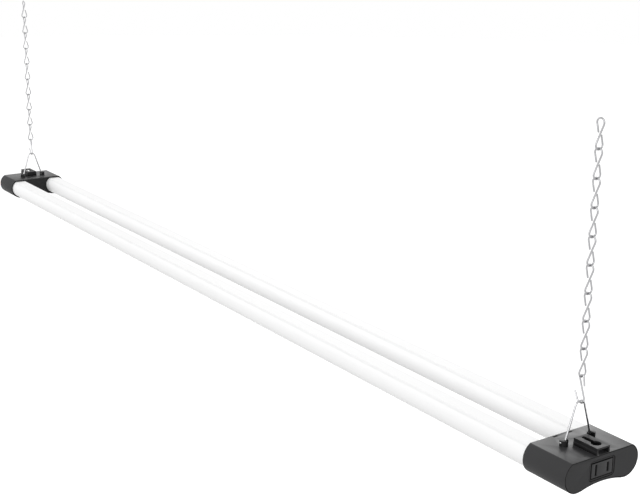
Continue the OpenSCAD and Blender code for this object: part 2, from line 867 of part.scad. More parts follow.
// A wire bail: feet that turn in the posts, leaning legs and a round peak
module bail() {
    corner_d = bail_d + weld;
    foot = [0, leg_y, bail_pivot_h];
    leg_end = foot + leg_l * [0, -sin(leg_lean), cos(leg_lean)];
    translate([bail_x, 0, cap_top]) {
        both_sides() {
            rod([0, foot_out_y, bail_pivot_h], foot, bail_d);
            translate(foot) sphere(d = corner_d, $fn = fine);
            rod(foot, leg_end, bail_d);
            translate(leg_end) sphere(d = corner_d, $fn = fine);
        }
        translate([0, 0, peak_c]) rotate([90, 0, 90]) rotate([0, 0, leg_lean])
            rotate_extrude(angle = 180 - 2 * leg_lean, $fn = fine)
                translate([bail_peak_r, 0]) circle(d = bail_d, $fn = fine);
    }
}

module outlet_bail() {
    color([0.75, 0.75, 0.76]) bail();
}

module cord_bail() {
    color([0.75, 0.75, 0.76]) at_cord_end() bail();
}

// Angle from a tail's tip, seen from its bend's centre, back to where the tail leaves the bend
function tail_turn(r, tail) = acos(r / norm([r + tail[0], tail[1]]));

// Centre line of an S hook, from its lower bend's middle: two bends, a leaning spine and two tails
function hook_points() =
    let (low_c = [0, 0, hook_low_r], high_c = [0, 0, hook_h - hook_high_r], x = [1, 0, 0], z = [0, 0, 1],
         lean = asin((hook_low_r + hook_high_r) / norm(high_c - low_c)),
         low_tip = [hook_low_r + hook_low_tail[0], hook_low_tail[1]],
         high_tip = [hook_high_r + hook_high_tail[0], hook_high_tail[1]],
         low_start = 180 - atan2(low_tip[1], low_tip[0]) + tail_turn(hook_low_r, hook_low_tail),
         high_end = -atan2(high_tip[1], high_tip[0]) + tail_turn(hook_high_r, hook_high_tail))
    concat(
        [low_c + [-low_tip[0], 0, low_tip[1]]],
        arc_points(low_c, hook_low_r, low_start, 360 + lean, bend_steps, x, z),
        arc_points(high_c, hook_high_r, 180 + lean, high_end, bend_steps, x, z),
        [high_c + [high_tip[0], 0, -high_tip[1]]]);

module s_hook(x) {
    translate([x, 0, cap_top + hook_low_h]) bent_wire(hook_points(), hook_d, [0, 1, 0]);
}

module outlet_s_hook() {
    color([0.7, 0.7, 0.71]) s_hook(bail_x);
}

module cord_s_hook() {
    color([0.7, 0.7, 0.71]) s_hook(-bail_x);
}

// Centre line of a jack-chain link from its middle: an upper loop along the light, a lower
// loop across it, and the tails that close them
function link_points() =
    let (c = link_h / 2 - link_r, x = [1, 0, 0], y = [0, 1, 0], z = [0, 0, 1])
    concat(
        [[-link_tail[0], 0, link_tail[1]]],
        arc_points([0, 0, c], link_r, 180 + link_droop, -link_droop, bend_steps, x, z),
        arc_points([0, 0, -c], link_r, 180 - link_droop, 360 + link_droop, bend_steps, y, z),
        [[0, link_tail[0], -link_tail[1]]]);

module chain_link(x, i) {
    middle = chain_low_h + (i - 1) * chain_pitch + link_h / 2;
    color([0.68, 0.68, 0.69]) translate([x, 0, cap_top + middle])
        bent_wire(link_points(), chain_d, [1, 1, 0]);
}

// ---------- the light ----------

outlet_cap_shell();
outlet_carrier();
outlet_keyhole_bracket();
outlet_insert();
outlet_contacts();
outlet_rail_screws();
outlet_cap_screws();
cord_cap_shell();
cord_carrier();
cord_keyhole_bracket();
cord_gland();
cord_rail_screws();
cord_cap_screws();
driver_board();
driver_screws();
driver_terminal();
driver_transformer();
driver_capacitors();
driver_fuse();
front_diffuser();
rear_diffuser();
front_rail();
rear_rail();
front_led_board();
rear_led_board();
front_leds();
rear_leds();
through_wires();
board_leads();
outlet_bail();
cord_bail();
outlet_s_hook();
cord_s_hook();
for (i = [1:link_count]) {
    chain_link(bail_x, i);
    chain_link(-bail_x, i);
}
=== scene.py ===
"""A hanging double-tube shop light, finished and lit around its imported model.

Lengths are in metres. +X runs to the outlet end and +Z up, as in the model.
"""

import json
import math

import bmesh
import bpy
from mathutils import Matrix, Vector


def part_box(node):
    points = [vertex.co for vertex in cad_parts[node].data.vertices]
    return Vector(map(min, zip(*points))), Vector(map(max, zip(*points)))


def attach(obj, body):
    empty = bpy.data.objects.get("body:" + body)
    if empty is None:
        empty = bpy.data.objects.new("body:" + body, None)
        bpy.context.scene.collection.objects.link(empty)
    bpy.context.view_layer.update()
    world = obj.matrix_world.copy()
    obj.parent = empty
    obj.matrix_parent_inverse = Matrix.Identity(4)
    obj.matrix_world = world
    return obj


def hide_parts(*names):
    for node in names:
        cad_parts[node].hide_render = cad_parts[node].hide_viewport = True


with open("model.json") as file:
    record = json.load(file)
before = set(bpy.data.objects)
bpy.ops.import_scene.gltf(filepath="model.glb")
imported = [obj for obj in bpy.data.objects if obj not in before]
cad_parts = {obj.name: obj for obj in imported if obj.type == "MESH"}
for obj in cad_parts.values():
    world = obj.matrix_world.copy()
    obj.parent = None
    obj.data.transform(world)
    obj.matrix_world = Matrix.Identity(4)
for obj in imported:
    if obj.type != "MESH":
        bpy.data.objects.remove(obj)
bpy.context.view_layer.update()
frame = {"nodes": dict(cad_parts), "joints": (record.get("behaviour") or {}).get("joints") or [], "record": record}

MM = 0.001
ENDS = {"outlet": 1, "cord": -1}
LINK_COUNT = 9
JOINTS = {joint["name"]: joint for joint in frame["joints"]}

# ---------- helpers for nodes ----------

def feed(links, socket, value):
    """Joins a socket to another node's output, or sets it to a plain value."""
    if isinstance(value, bpy.types.NodeSocket):
        links.new(value, socket)
    else:
        socket.default_value = value


def math_node(nodes, links, operation, *values):
    node = nodes.new("ShaderNodeMath")
    node.operation = operation
    for socket, value in zip(node.inputs, values):
        feed(links, socket, value)
    return node.outputs[0]


def map_range(nodes, links, value, from_low, from_high, to_low=0, to_high=1):
    """The value's place between two levels, moved between two others and held there."""
    node = nodes.new("ShaderNodeMapRange")
    for label, given in (("Value", value), ("From Min", from_low), ("From Max", from_high),
                         ("To Min", to_low), ("To Max", to_high)):
        feed(links, node.inputs[label], given)
    return node.outputs[0]


def mixed(nodes, links, blend, factor, first, second):
    """Two colours mixed, or the first multiplied by the second."""
    mix = nodes.new("ShaderNodeMix")
    mix.data_type = "RGBA"
    mix.blend_type = blend
    feed(links, mix.inputs["Factor"], factor)
    links.new(first, mix.inputs["A"])
    links.new(second, mix.inputs["B"])
    return mix.outputs["Result"]


# ---------- camera, floor and light ----------

CAMERA_AZIMUTH = 55.43
CAMERA_ELEVATION = 15.86
CAMERA_ROLL = 0.70
CAMERA_PLACE = (1.1772, -0.6755, 0.4033)
CAMERA_LENS_MM = 70.53
CAMERA_SEES_TO = 60
SENSOR_MM = 36

WHITE = (1, 1, 1, 1)
FLOOR_DROP = 1.3
FLOOR_RADIUS = 14
FLOOR_SIDES = 96
FLOOR_COLOUR = (0.58, 0.58, 0.58, 1)
FLOOR_ROUGHNESS = 0.9
# how bright the floor and the world look by themselves, and how much the world lights the object
FLOOR_GLOW = 0.66
SHOWN_LEVEL = 1
WORLD_LEVEL = 0.74

# name, place, the point that it faces, width and power
LAMPS = [
    ("back_softbox", (-1.9, 2.05, 1.25), (0, 0, 0), 2.5, 25),
    ("front_softbox", (1.2, -2.15, 1.2), (0, 0, 0), 2.0, 28),
    ("end_softbox", (-1.0, -0.75, 0.6), (-0.55, 0, -0.04), 0.5, 2.2),
]


def add_camera():
    data = bpy.data.cameras.new("photo_camera")
    data.sensor_fit = "HORIZONTAL"
    data.sensor_width = SENSOR_MM
    data.lens = CAMERA_LENS_MM
    data.clip_end = CAMERA_SEES_TO
    azimuth = math.radians(CAMERA_AZIMUTH)
    elevation = math.radians(CAMERA_ELEVATION)
    roll = math.radians(CAMERA_ROLL)
    ahead = Vector((-math.sin(azimuth) * math.cos(elevation),
                    math.cos(azimuth) * math.cos(elevation), -math.sin(elevation)))
    level = Vector((math.cos(azimuth), math.sin(azimuth), 0))
    upward = level.cross(ahead)
    right = level * math.cos(roll) + upward * math.sin(roll)
    up = upward * math.cos(roll) - level * math.sin(roll)
    camera = bpy.data.objects.new("photo_camera", data)
    turn = Matrix((right, up, -ahead)).transposed().to_4x4()
    camera.matrix_world = Matrix.Translation(CAMERA_PLACE) @ turn
    bpy.context.scene.collection.objects.link(camera)
    bpy.context.scene.camera = camera


def add_lamps():
    for name, place, aim, width, power in LAMPS:
        data = bpy.data.lights.new(name, "AREA")
        data.shape = "DISK"
        data.size = width
        data.energy = power
        lamp = bpy.data.objects.new(name, data)
        lamp.location = place
        facing = Vector(aim) - Vector(place)
        lamp.rotation_euler = facing.to_track_quat("-Z", "Y").to_euler()
        bpy.context.scene.collection.objects.link(lamp)


def shown_rays(nodes, links):
    """1 for rays that show the background: straight from the camera, or by way of metal or glass."""
    ray = nodes.new("ShaderNodeLightPath").outputs
    shown = math_node(nodes, links, "MAXIMUM", ray["Is Camera Ray"], ray["Is Glossy Ray"])
    return math_node(nodes, links, "MAXIMUM", shown, ray["Is Transmission Ray"])


def add_world():
    world = bpy.data.worlds.new("white_studio")
    bpy.context.scene.world = world
    world.use_nodes = True
    nodes, links = world.node_tree.nodes, world.node_tree.links
    nodes.clear()
    output = nodes.new("ShaderNodeOutputWorld")
    background = nodes.new("ShaderNodeBackground")
    level = map_range(nodes, links, shown_rays(nodes, links), 0, 1, WORLD_LEVEL, SHOWN_LEVEL)
    links.new(level, background.inputs["Strength"])
    background.inputs["Color"].default_value = WHITE
    links.new(background.outputs[0], output.inputs["Surface"])


def add_floor():
    mesh = bpy.data.meshes.new("floor")
    shape = bmesh.new()
    bmesh.ops.create_circle(shape, cap_ends=True, segments=FLOOR_SIDES, radius=FLOOR_RADIUS)
    shape.to_mesh(mesh)
    shape.free()
    floor = bpy.data.objects.new("floor", mesh)
    floor.location.z = -FLOOR_DROP
    bpy.context.scene.collection.objects.link(floor)
    material = bpy.data.materials.new("pale_floor")
    material.use_nodes = True
    nodes, links = material.node_tree.nodes, material.node_tree.links
    shader = nodes["Principled BSDF"]
    shader.inputs["Base Color"].default_value = FLOOR_COLOUR
    shader.inputs["Roughness"].default_value = FLOOR_ROUGHNESS
    shader.inputs["Emission Color"].default_value = WHITE
    glow = math_node(nodes, links, "MULTIPLY", shown_rays(nodes, links), FLOOR_GLOW)
    links.new(glow, shader.inputs["Emission Strength"])
    mesh.materials.append(material)


# ---------- shader groups ----------

def new_group(name, inputs, outputs):
    """An empty shader group with named sockets: (name, type, value) in, (name, type) out."""
    group = bpy.data.node_groups.new(name, "ShaderNodeTree")
    for label, kind, value in inputs:
        socket = group.interface.new_socket(label, in_out="INPUT", socket_type="NodeSocket" + kind)
        socket.default_value = value
    for label, kind in outputs:
        group.interface.new_socket(label, in_out="OUTPUT", socket_type="NodeSocket" + kind)
    nodes = group.nodes
    return group, nodes, group.links, nodes.new("NodeGroupInput"), nodes.new("NodeGroupOutput")


def object_place(nodes):
    return nodes.new("ShaderNodeTexCoord").outputs["Object"]


def noise_node(nodes, links, place, scale, detail, roughness=0.55):
    node = nodes.new("ShaderNodeTexNoise")
    links.new(place, node.inputs["Vector"])
    feed(links, node.inputs["Scale"], scale)
    node.inputs["Detail"].default_value = detail
    node.inputs["Roughness"].default_value = roughness
    return node.outputs["Fac"]


def blended(nodes, links, first, second, share):
    """Two values added, the first by its share and the second by what is left."""
    return math_node(nodes, links, "ADD", math_node(nodes, links, "MULTIPLY", first, share),
                     math_node(nodes, links, "MULTIPLY", second, 1 - share))


def spread_about(nodes, links, value, centre, spread):
    """centre + (value - 0.5) * spread, for a noise that lies about 0.5."""
    off = math_node(nodes, links, "SUBTRACT", value, 0.5)
    return math_node(nodes, links, "ADD", math_node(nodes, links, "MULTIPLY", off, spread), centre)


def tinted(nodes, links, colour, factor):
    """The colour times a grey factor."""
    grey = nodes.new("ShaderNodeCombineColor")
    for channel in ("Red", "Green", "Blue"):
        links.new(factor, grey.inputs[channel])
    return mixed(nodes, links, "MULTIPLY", 1, colour, grey.outputs[0])


MID_GREY = (0.5, 0.5, 0.5, 1)
FINISH_OUTPUTS = [("Colour", "Color"), ("Roughness", "Float"), ("Height", "Float")]
ALONG_WIRE = "along_wire"
# sizes of the patterns, in features to the metre
RUB_SCALE = 300
CLOUD_SCALE = 450
MARK_SCALE = 1400
HAZE_SCALE = 25
LINE_SCALE = (1.5, 900, 900)
# levels between which a pattern goes from none to full: how far the rounded face agrees with the
# flat one, the noise that breaks the wear up, and how much open space a point sees, for the painted shade in
# recesses
EDGE_LEVELS = (0.995, 0.85)
RUB_LEVELS = (0.35, 0.65)
RECESS_LEVELS = (0.25, 0.8)
WIRE_GLOSS = 0.15
TUBE_GLOSS = 0.12


def surface_grain_group():
    """Fine grain of a moulded or painted surface, with slow changes of tone and gloss over it."""
    group, nodes, links, given, out = new_group(
        "surface_grain",
        [("Colour", "Color", MID_GREY), ("Grain scale", "Float", 4000), ("Patch scale", "Float", 40),
         ("Tone spread", "Float", 0.1), ("Roughness", "Float", 0.5), ("Gloss spread", "Float", 0.1)],
        FINISH_OUTPUTS)
    place = object_place(nodes)
    grain = noise_node(nodes, links, place, given.outputs["Grain scale"], detail=2)
    patch = noise_node(nodes, links, place, given.outputs["Patch scale"], detail=4)
    both = blended(nodes, links, grain, patch, 0.4)
    tone = spread_about(nodes, links, both, 1, given.outputs["Tone spread"])
    links.new(tinted(nodes, links, given.outputs["Colour"], tone), out.inputs["Colour"])
    gloss = spread_about(nodes, links, patch, given.outputs["Roughness"], given.outputs["Gloss spread"])
    links.new(gloss, out.inputs["Roughness"])
    links.new(grain, out.inputs["Height"])
    return group


def edge_wear_group():
    """Lightens the sharp outer edges of a piece, where handling rubs them."""
    group, nodes, links, given, out = new_group(
        "edge_wear",
        [("Colour", "Color", MID_GREY), ("Worn colour", "Color", (0.6, 0.6, 0.6, 1)),
         ("Amount", "Float", 0.5), ("Edge radius", "Float", 0.0005)],
        [("Colour", "Color"), ("Worn", "Float")])
    rounded = nodes.new("ShaderNodeBevel")
    rounded.samples = 4
    links.new(given.outputs["Edge radius"], rounded.inputs["Radius"])
    flat = nodes.new("ShaderNodeNewGeometry").outputs["Normal"]
    agreement = nodes.new("ShaderNodeVectorMath")
    agreement.operation = "DOT_PRODUCT"
    links.new(rounded.outputs[0], agreement.inputs[0])
    links.new(flat, agreement.inputs[1])
    edge = map_range(nodes, links, agreement.outputs["Value"], *EDGE_LEVELS)
    rubbed = noise_node(nodes, links, object_place(nodes), RUB_SCALE, detail=4)
    broken = map_range(nodes, links, rubbed, *RUB_LEVELS)
    worn = math_node(nodes, links, "MULTIPLY", edge, broken)
    worn = math_node(nodes, links, "MULTIPLY", worn, given.outputs["Amount"])
    colour = mixed(nodes, links, "MIX", worn, given.outputs["Colour"], given.outputs["Worn colour"])
    links.new(colour, out.inputs["Colour"])
    links.new(worn, out.inputs["Worn"])
    return group


def recess_painted_shade_group():
    """Painted shade: darkens grooves, slots and inner corners by how little open space a point sees."""
    group, nodes, links, given, out = new_group(
        "recess_grime",
        [("Colour", "Color", MID_GREY), ("Kept tone", "Float", 0.25), ("Reach", "Float", 0.0015)],
        [("Colour", "Color")])
    open_sky = nodes.new("ShaderNodeAmbientOcclusion")
    open_sky.samples = 8
    links.new(given.outputs["Reach"], open_sky.inputs["Distance"])
    kept = given.outputs["Kept tone"]
    tone = map_range(nodes, links, open_sky.outputs["AO"], *RECESS_LEVELS, kept)
    links.new(tinted(nodes, links, given.outputs["Colour"], tone), out.inputs["Colour"])
    return group


def drawn_wire_group():
    """Zinc-plated drawn wire: cloudy plating and faint marks round it, along the wire's own length."""
    group, nodes, links, given, out = new_group(
        "drawn_wire",
        [("Colour", "Color", MID_GREY), ("Tone spread", "Float", 0.3), ("Roughness", "Float", 0.3)],
        FINISH_OUTPUTS)
    along = nodes.new("ShaderNodeAttribute")
    along.attribute_name = ALONG_WIRE
    marks = nodes.new("ShaderNodeTexNoise")
    marks.noise_dimensions = "1D"
    marks.inputs["Scale"].default_value = MARK_SCALE
    marks.inputs["Detail"].default_value = 4
    links.new(along.outputs["Fac"], marks.inputs["W"])
    cloud = noise_node(nodes, links, object_place(nodes), CLOUD_SCALE, detail=4)
    tone = spread_about(nodes, links, cloud, 1, given.outputs["Tone spread"])
    links.new(tinted(nodes, links, given.outputs["Colour"], tone), out.inputs["Colour"])
    gloss = spread_about(nodes, links, cloud, given.outputs["Roughness"], WIRE_GLOSS)
    links.new(gloss, out.inputs["Roughness"])
    links.new(marks.outputs["Fac"], out.inputs["Height"])
    return group


def extruded_lines_group():
    """Faint lines that an extruder leaves along the light, in colour and in height."""
    group, nodes, links, given, out = new_group(
        "extruded_lines",
        [("Colour", "Color", MID_GREY), ("Tone spread", "Float", 0.03), ("Roughness", "Float", 0.4)],
        FINISH_OUTPUTS)
    place = object_place(nodes)
    stretch = nodes.new("ShaderNodeMapping")
    stretch.inputs["Scale"].default_value = LINE_SCALE
    links.new(place, stretch.inputs["Vector"])
    lines = noise_node(nodes, links, stretch.outputs[0], 1, detail=3)
    haze = noise_node(nodes, links, place, HAZE_SCALE, detail=4)
    both = blended(nodes, links, lines, haze, 0.5)
    tone = spread_about(nodes, links, both, 1, given.outputs["Tone spread"])
    links.new(tinted(nodes, links, given.outputs["Colour"], tone), out.inputs["Colour"])
    gloss = spread_about(nodes, links, haze, given.outputs["Roughness"], TUBE_GLOSS)
    links.new(gloss, out.inputs["Roughness"])
    links.new(lines, out.inputs["Height"])
    return group


GRAIN = surface_grain_group()
WEAR = edge_wear_group()
RECESS_SHADE = recess_painted_shade_group()
DRAWN = drawn_wire_group()
LINES = extruded_lines_group()


# ---------- materials ----------

BRACKET_STANDS = 5.8 * MM
CAP_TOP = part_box("outlet_keyhole_bracket")[1].z - BRACKET_STANDS
RIM_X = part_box("outlet_cap_shell")[0].x
# how far from the cap's top or rim each change of finish or of painted shade starts and ends
POST_STEP = (0.1 * MM, 0.4 * MM)
TOP_STEP = (-0.8 * MM, -0.2 * MM)
RIM_STEP = (0.2 * MM, 0.4 * MM)
# how dark the painted shade on the posts is
POST_PAINTED_SHADE = 0.25
# how dark the painted shade at the cap's rim is
RIM_PAINTED_SHADE = 0.1
TOP_POLISH = 0.3
# how dark the painted shade in recesses gets
RECESS_SHADE_TONE = 0.12
WEAR_AMOUNT = 0.6
WIRE_MARK_DEPTH = 0.0012 * MM


def blank_material(name):
    material = bpy.data.materials.new(name)
    material.use_nodes = True
    nodes = material.node_tree.nodes
    return material, nodes, material.node_tree.links, nodes["Principled BSDF"]


def place_group(nodes, group, **values):
    node = nodes.new("ShaderNodeGroup")
    node.node_tree = group
    for label, value in values.items():
        node.inputs[label.replace("_", " ").capitalize()].default_value = value
    return node


def bump(nodes, links, height, depth, shader):
    node = nodes.new("ShaderNodeBump")
    node.inputs["Distance"].default_value = depth
    node.inputs["Strength"].default_value = 1
    links.new(height, node.inputs["Height"])
    links.new(node.outputs[0], shader.inputs["Normal"])


def grained(name, colour, roughness, grain_mm=0.25, depth_mm=0.01, tone=0.12, gloss=0.12,
            worn=None, metallic=0.0, coat=0.0, specular=0.5):
    """A moulded, painted or plated finish with its grain and, where given, its worn edges and painted shade in its
    recesses.
    """
    material, nodes, links, shader = blank_material(name)
    grain = place_group(nodes, GRAIN, colour=(*colour, 1), grain_scale=1 / (grain_mm * MM),
                        tone_spread=tone, roughness=roughness, gloss_spread=gloss)
    shown = grain.outputs["Colour"]
    if worn:
        wear = place_group(nodes, WEAR, worn_colour=(*worn, 1), amount=WEAR_AMOUNT)
        links.new(shown, wear.inputs["Colour"])
        # painted shade: recesses darkened by how little open space they see
        painted_shade = place_group(nodes, RECESS_SHADE, kept_tone=RECESS_SHADE_TONE)
        links.new(wear.outputs["Colour"], painted_shade.inputs["Colour"])
        shown = painted_shade.outputs["Colour"]
    links.new(shown, shader.inputs["Base Color"])
    links.new(grain.outputs["Roughness"], shader.inputs["Roughness"])
    bump(nodes, links, grain.outputs["Height"], depth_mm * MM, shader)
    shader.inputs["Metallic"].default_value = metallic
    shader.inputs["Coat Weight"].default_value = coat
    shader.inputs["Specular IOR Level"].default_value = specular
    return material


def place_step(nodes, links, axis, start, step, before, after):
    """A value that changes over a step past a height, or past a distance from the light's middle."""
    apart = nodes.new("ShaderNodeSeparateXYZ")
    links.new(object_place(nodes), apart.inputs[0])
    distance = apart.outputs[axis]
    if axis == "X":
        distance = math_node(nodes, links, "ABSOLUTE", distance)
    return map_range(nodes, links, distance, start + step[0], start + step[1], before, after)


def cap_finish():
    """The caps' plastic: textured sides, a smoother flat top, painted shade on the posts over it, and painted
    shade at the rim.
    """
    material = grained("textured_black_cap", (0.034, 0.034, 0.035), 0.62,
                       worn=(0.07, 0.07, 0.07), specular=0.2)
    nodes, links = material.node_tree.nodes, material.node_tree.links
    shader = nodes["Principled BSDF"]
    colour = shader.inputs["Base Color"].links[0].from_socket
    rough = shader.inputs["Roughness"].links[0].from_socket
    # painted shade: the posts over the cap's top are darkened
    post_painted_shade = place_step(nodes, links, "Z", CAP_TOP, POST_STEP, 1, POST_PAINTED_SHADE)
    # painted shade: the faces near the cap's rim are darkened, standing in for the shaded gap round the tubes
    rim_painted_shade = place_step(nodes, links, "X", RIM_X, RIM_STEP, RIM_PAINTED_SHADE, 1)
    smoother = place_step(nodes, links, "Z", CAP_TOP, TOP_STEP, 0, -TOP_POLISH)
    tone = math_node(nodes, links, "MULTIPLY", post_painted_shade, rim_painted_shade)
    links.new(tinted(nodes, links, colour, tone), shader.inputs["Base Color"])
    links.new(math_node(nodes, links, "ADD", rough, smoother), shader.inputs["Roughness"])
    return material


def wire_finish(name, colour, roughness):
    """Plated wire, clouded and faintly marked along its length."""
    material, nodes, links, shader = blank_material(name)
    drawn = place_group(nodes, DRAWN, colour=(*colour, 1), roughness=roughness, tone_spread=0.16)
    links.new(drawn.outputs["Colour"], shader.inputs["Base Color"])
    links.new(drawn.outputs["Roughness"], shader.inputs["Roughness"])
    bump(nodes, links, drawn.outputs["Height"], WIRE_MARK_DEPTH, shader)
    shader.inputs["Metallic"].default_value = 1
    return material


def extruded_finish(name, colour, roughness, depth_mm):
    """A drawn-out plastic, with the extruder's faint lines along it."""
    material, nodes, links, shader = blank_material(name)
    lines = place_group(nodes, LINES, colour=(*colour, 1), roughness=roughness)
    links.new(lines.outputs["Colour"], shader.inputs["Base Color"])
    links.new(lines.outputs["Roughness"], shader.inputs["Roughness"])
    bump(nodes, links, lines.outputs["Height"], depth_mm * MM, shader)
    return material


# one finish to a slot: its name, colour and roughness, then its grain, depth, tone and gloss
FINISHES = {
    "cap_plastic": cap_finish(),
    "carrier_plastic": grained(
        "black_carrier", (0.012, 0.012, 0.012), 0.6, specular=0.25, worn=(0.04, 0.04, 0.04)),
    "bracket_plastic": grained(
        "black_bracket", (0.011, 0.011, 0.0115), 0.4, grain_mm=0.3, specular=0.2,
        worn=(0.05, 0.05, 0.05)),
    "insert_plastic": grained(
        "black_outlet_face", (0.036, 0.036, 0.037), 0.5, grain_mm=0.4, depth_mm=0.004, specular=0.25,
        worn=(0.07, 0.07, 0.07)),
    "contact_brass": grained(
        "stamped_brass", (0.7, 0.5, 0.2), 0.3, grain_mm=0.5, depth_mm=0.004, tone=0.3, metallic=1),
    "screw_steel": grained(
        "zinc_plated_screws", (0.62, 0.62, 0.64), 0.32, grain_mm=0.5, depth_mm=0.004, tone=0.3,
        metallic=1),
    "gland_rubber": grained(
        "moulded_rubber", (0.022, 0.022, 0.022), 0.75, grain_mm=0.3, depth_mm=0.02,
        worn=(0.05, 0.05, 0.05)),
    "driver_laminate": grained(
        "green_solder_mask", (0.012, 0.12, 0.035), 0.35, grain_mm=1.2, tone=0.4, coat=0.3),
    "terminal_plastic": grained("blue_terminal", (0.02, 0.12, 0.4), 0.45, grain_mm=0.4),
    "transformer_tape": grained(
        "amber_tape", (0.7, 0.45, 0.03), 0.3, grain_mm=2.5, depth_mm=0.03, tone=0.35, coat=0.4),
    "capacitor_sleeve": grained(
        "navy_sleeve", (0.012, 0.014, 0.06), 0.3, grain_mm=1.5, tone=0.3, coat=0.5),
    "fuse_ceramic": grained("glazed_ceramic", (0.78, 0.78, 0.72), 0.25, grain_mm=1.5, coat=0.6),
    "frosted_diffuser": extruded_finish("frosted_tube", (0.9, 0.9, 0.9), 0.42, depth_mm=0.006),
    "white_rail": grained(
        "white_powder_coat", (0.86, 0.86, 0.86), 0.5, grain_mm=0.6, depth_mm=0.012, tone=0.05,
        gloss=0.08),
    "white_laminate": grained(
        "white_solder_mask", (0.86, 0.86, 0.82), 0.4, grain_mm=1, depth_mm=0.006, tone=0.08),
    "emitter_phosphor": grained(
        "phosphor_gel", (0.85, 0.6, 0.12), 0.3, grain_mm=0.3, tone=0.25, coat=0.5),
    "wire_insulation": grained(
        "white_insulation", (0.75, 0.75, 0.74), 0.45, grain_mm=1, depth_mm=0.006),
    "lead_insulation": grained(
        "red_insulation", (0.5, 0.02, 0.015), 0.45, grain_mm=1, depth_mm=0.006),
    "bail_steel": wire_finish("bright_bail_wire", (0.5, 0.5, 0.51), 0.14),
    "hook_steel": wire_finish("zinc_hook_wire", (0.5, 0.5, 0.51), 0.26),
    "chain_steel": wire_finish("zinc_chain_wire", (0.42, 0.42, 0.43), 0.3),
}
SLOT_OF = {part["node"]: part["material_slot"] for part in frame["record"]["subparts"]}
BODY_OF = {node: body for body, members in frame["record"]["behaviour"]["bodies"].items()
           for node in members}


# ---------- helpers for pieces ----------

MERGE_GAP = 0.002 * MM
FLAT_WITHIN = math.radians(0.4)
SHARP_ANGLE = 20


def new_piece(name, mesh):
    piece = bpy.data.objects.new(name, mesh)
    bpy.context.scene.collection.objects.link(piece)
    return piece


def finished(piece):
    """Turns a piece and its modifiers into a plain mesh."""
    evaluated = piece.evaluated_get(bpy.context.evaluated_depsgraph_get())
    mesh = bpy.data.meshes.new_from_object(evaluated)
    piece.modifiers.clear()
    old, piece.data = piece.data, mesh
    if old.users == 0:
        bpy.data.meshes.remove(old)
    mesh.name = piece.name
    return piece


def smooth(piece, sharp_angle=SHARP_ANGLE):
    piece.data.shade_smooth()
    piece.data.set_sharp_from_angle(angle=math.radians(sharp_angle))


def stand_for(piece, *nodes):
    """The piece takes the place, body and finish of these nodes."""
    slot = SLOT_OF[nodes[0]]
    piece.data.materials.clear()
    piece.data.materials.append(FINISHES[slot])
    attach(piece, BODY_OF[nodes[0]])
    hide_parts(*nodes)


def merge_flat(mesh):
    """Joins a mesh's corners, and its triangles into flat faces."""
    shape = bmesh.new()
    shape.from_mesh(mesh)
    bmesh.ops.remove_doubles(shape, verts=shape.verts, dist=MERGE_GAP)
    bmesh.ops.dissolve_limit(shape, angle_limit=FLAT_WITHIN, verts=shape.verts, edges=shape.edges)
    shape.to_mesh(mesh)
    shape.free()


def cleaned(node):
    """A copy of a moulded node with its triangles merged into flat faces."""
    mesh = frame["nodes"][node].data.copy()
    merge_flat(mesh)
    return new_piece(node + "_moulding", mesh)


def soften(piece, radius):
    """Rounds a moulding's sharp edges."""
    bevel = piece.modifiers.new("soft_edges", "BEVEL")
    bevel.width = radius
    bevel.segments = 3
    bevel.limit_method = "ANGLE"
    bevel.angle_limit = math.radians(SHARP_ANGLE)
    bevel.use_clamp_overlap = True
    bevel.miter_outer = "MITER_ARC"
    finished(piece)
    smooth(piece)
    return piece


def joined_rings(name, rings, closed=False):
    """A body whose skin runs from ring to ring, then ends in flat faces or comes back to the first."""
    shape = bmesh.new()
    loops = [[shape.verts.new(point) for point in ring] for ring in rings]
    pairs = list(zip(loops, loops[1:]))
    if closed:
        pairs.append((loops[-1], loops[0]))
    else:
        shape.faces.new(loops[0])
        shape.faces.new(loops[-1])
    for first, second in pairs:
        for i in range(len(first)):
            following = (i + 1) % len(first)
            shape.faces.new((first[i], first[following], second[following], second[i]))
    bmesh.ops.recalc_face_normals(shape, faces=shape.faces)
    mesh = bpy.data.meshes.new(name)
    shape.to_mesh(mesh)
    shape.free()
    return new_piece(name, mesh)


def cut(piece, cutter):
    """Takes the cutter's shape out of the piece."""
    boolean = piece.modifiers.new("cut", "BOOLEAN")
    boolean.operation = "DIFFERENCE"
    boolean.solver = "MANIFOLD"
    boolean.object = cutter
    finished(piece)
    discard(cutter)


def discard(piece):
    mesh = piece.data
    bpy.data.objects.remove(piece)
    bpy.data.meshes.remove(mesh)


# ---------- geometry trees ----------

def new_tree(name, inputs, result):
    """An empty geometry tree with named sockets: (name, type) each, and one result."""
    tree = bpy.data.node_groups.new(name, "GeometryNodeTree")
    for label, kind in inputs:
        tree.interface.new_socket(label, in_out="INPUT", socket_type="NodeSocket" + kind)
    tree.interface.new_socket(result, in_out="OUTPUT", socket_type="NodeSocketGeometry")
    return tree, tree.nodes, tree.links, tree.nodes.new("NodeGroupInput")


def end_tree(nodes, links, shape, finish):
    """Makes a tree's copies real, gives them their finish, and puts them out."""
    real = nodes.new("GeometryNodeRealizeInstances")
    links.new(shape, real.inputs["Geometry"])
    coloured = nodes.new("GeometryNodeSetMaterial")
    links.new(real.outputs["Geometry"], coloured.inputs["Geometry"])
    links.new(finish, coloured.inputs["Material"])
    links.new(coloured.outputs["Geometry"], nodes.new("NodeGroupOutput").inputs[0])


def set_inputs(modifier, values):
    """Sets a tree's inputs on a modifier, by their sockets' identifiers."""
    for item in modifier.node_group.interface.items_tree:
        if item.item_type == "SOCKET" and item.in_out == "INPUT" and item.name in values:
            modifier[item.identifier] = values[item.name]


def grown(name, mesh, tree, values):
    """The plain piece that a tree makes from a mesh."""
    piece = new_piece(name, mesh)
    modifier = piece.modifiers.new(tree.name, "NODES")
    modifier.node_group = tree
    set_inputs(modifier, values)
    return finished(piece)


# ---------- bent wires ----------

# a little over 1, so that a cut end keeps a small flat face
END_FULLNESS = 1.02


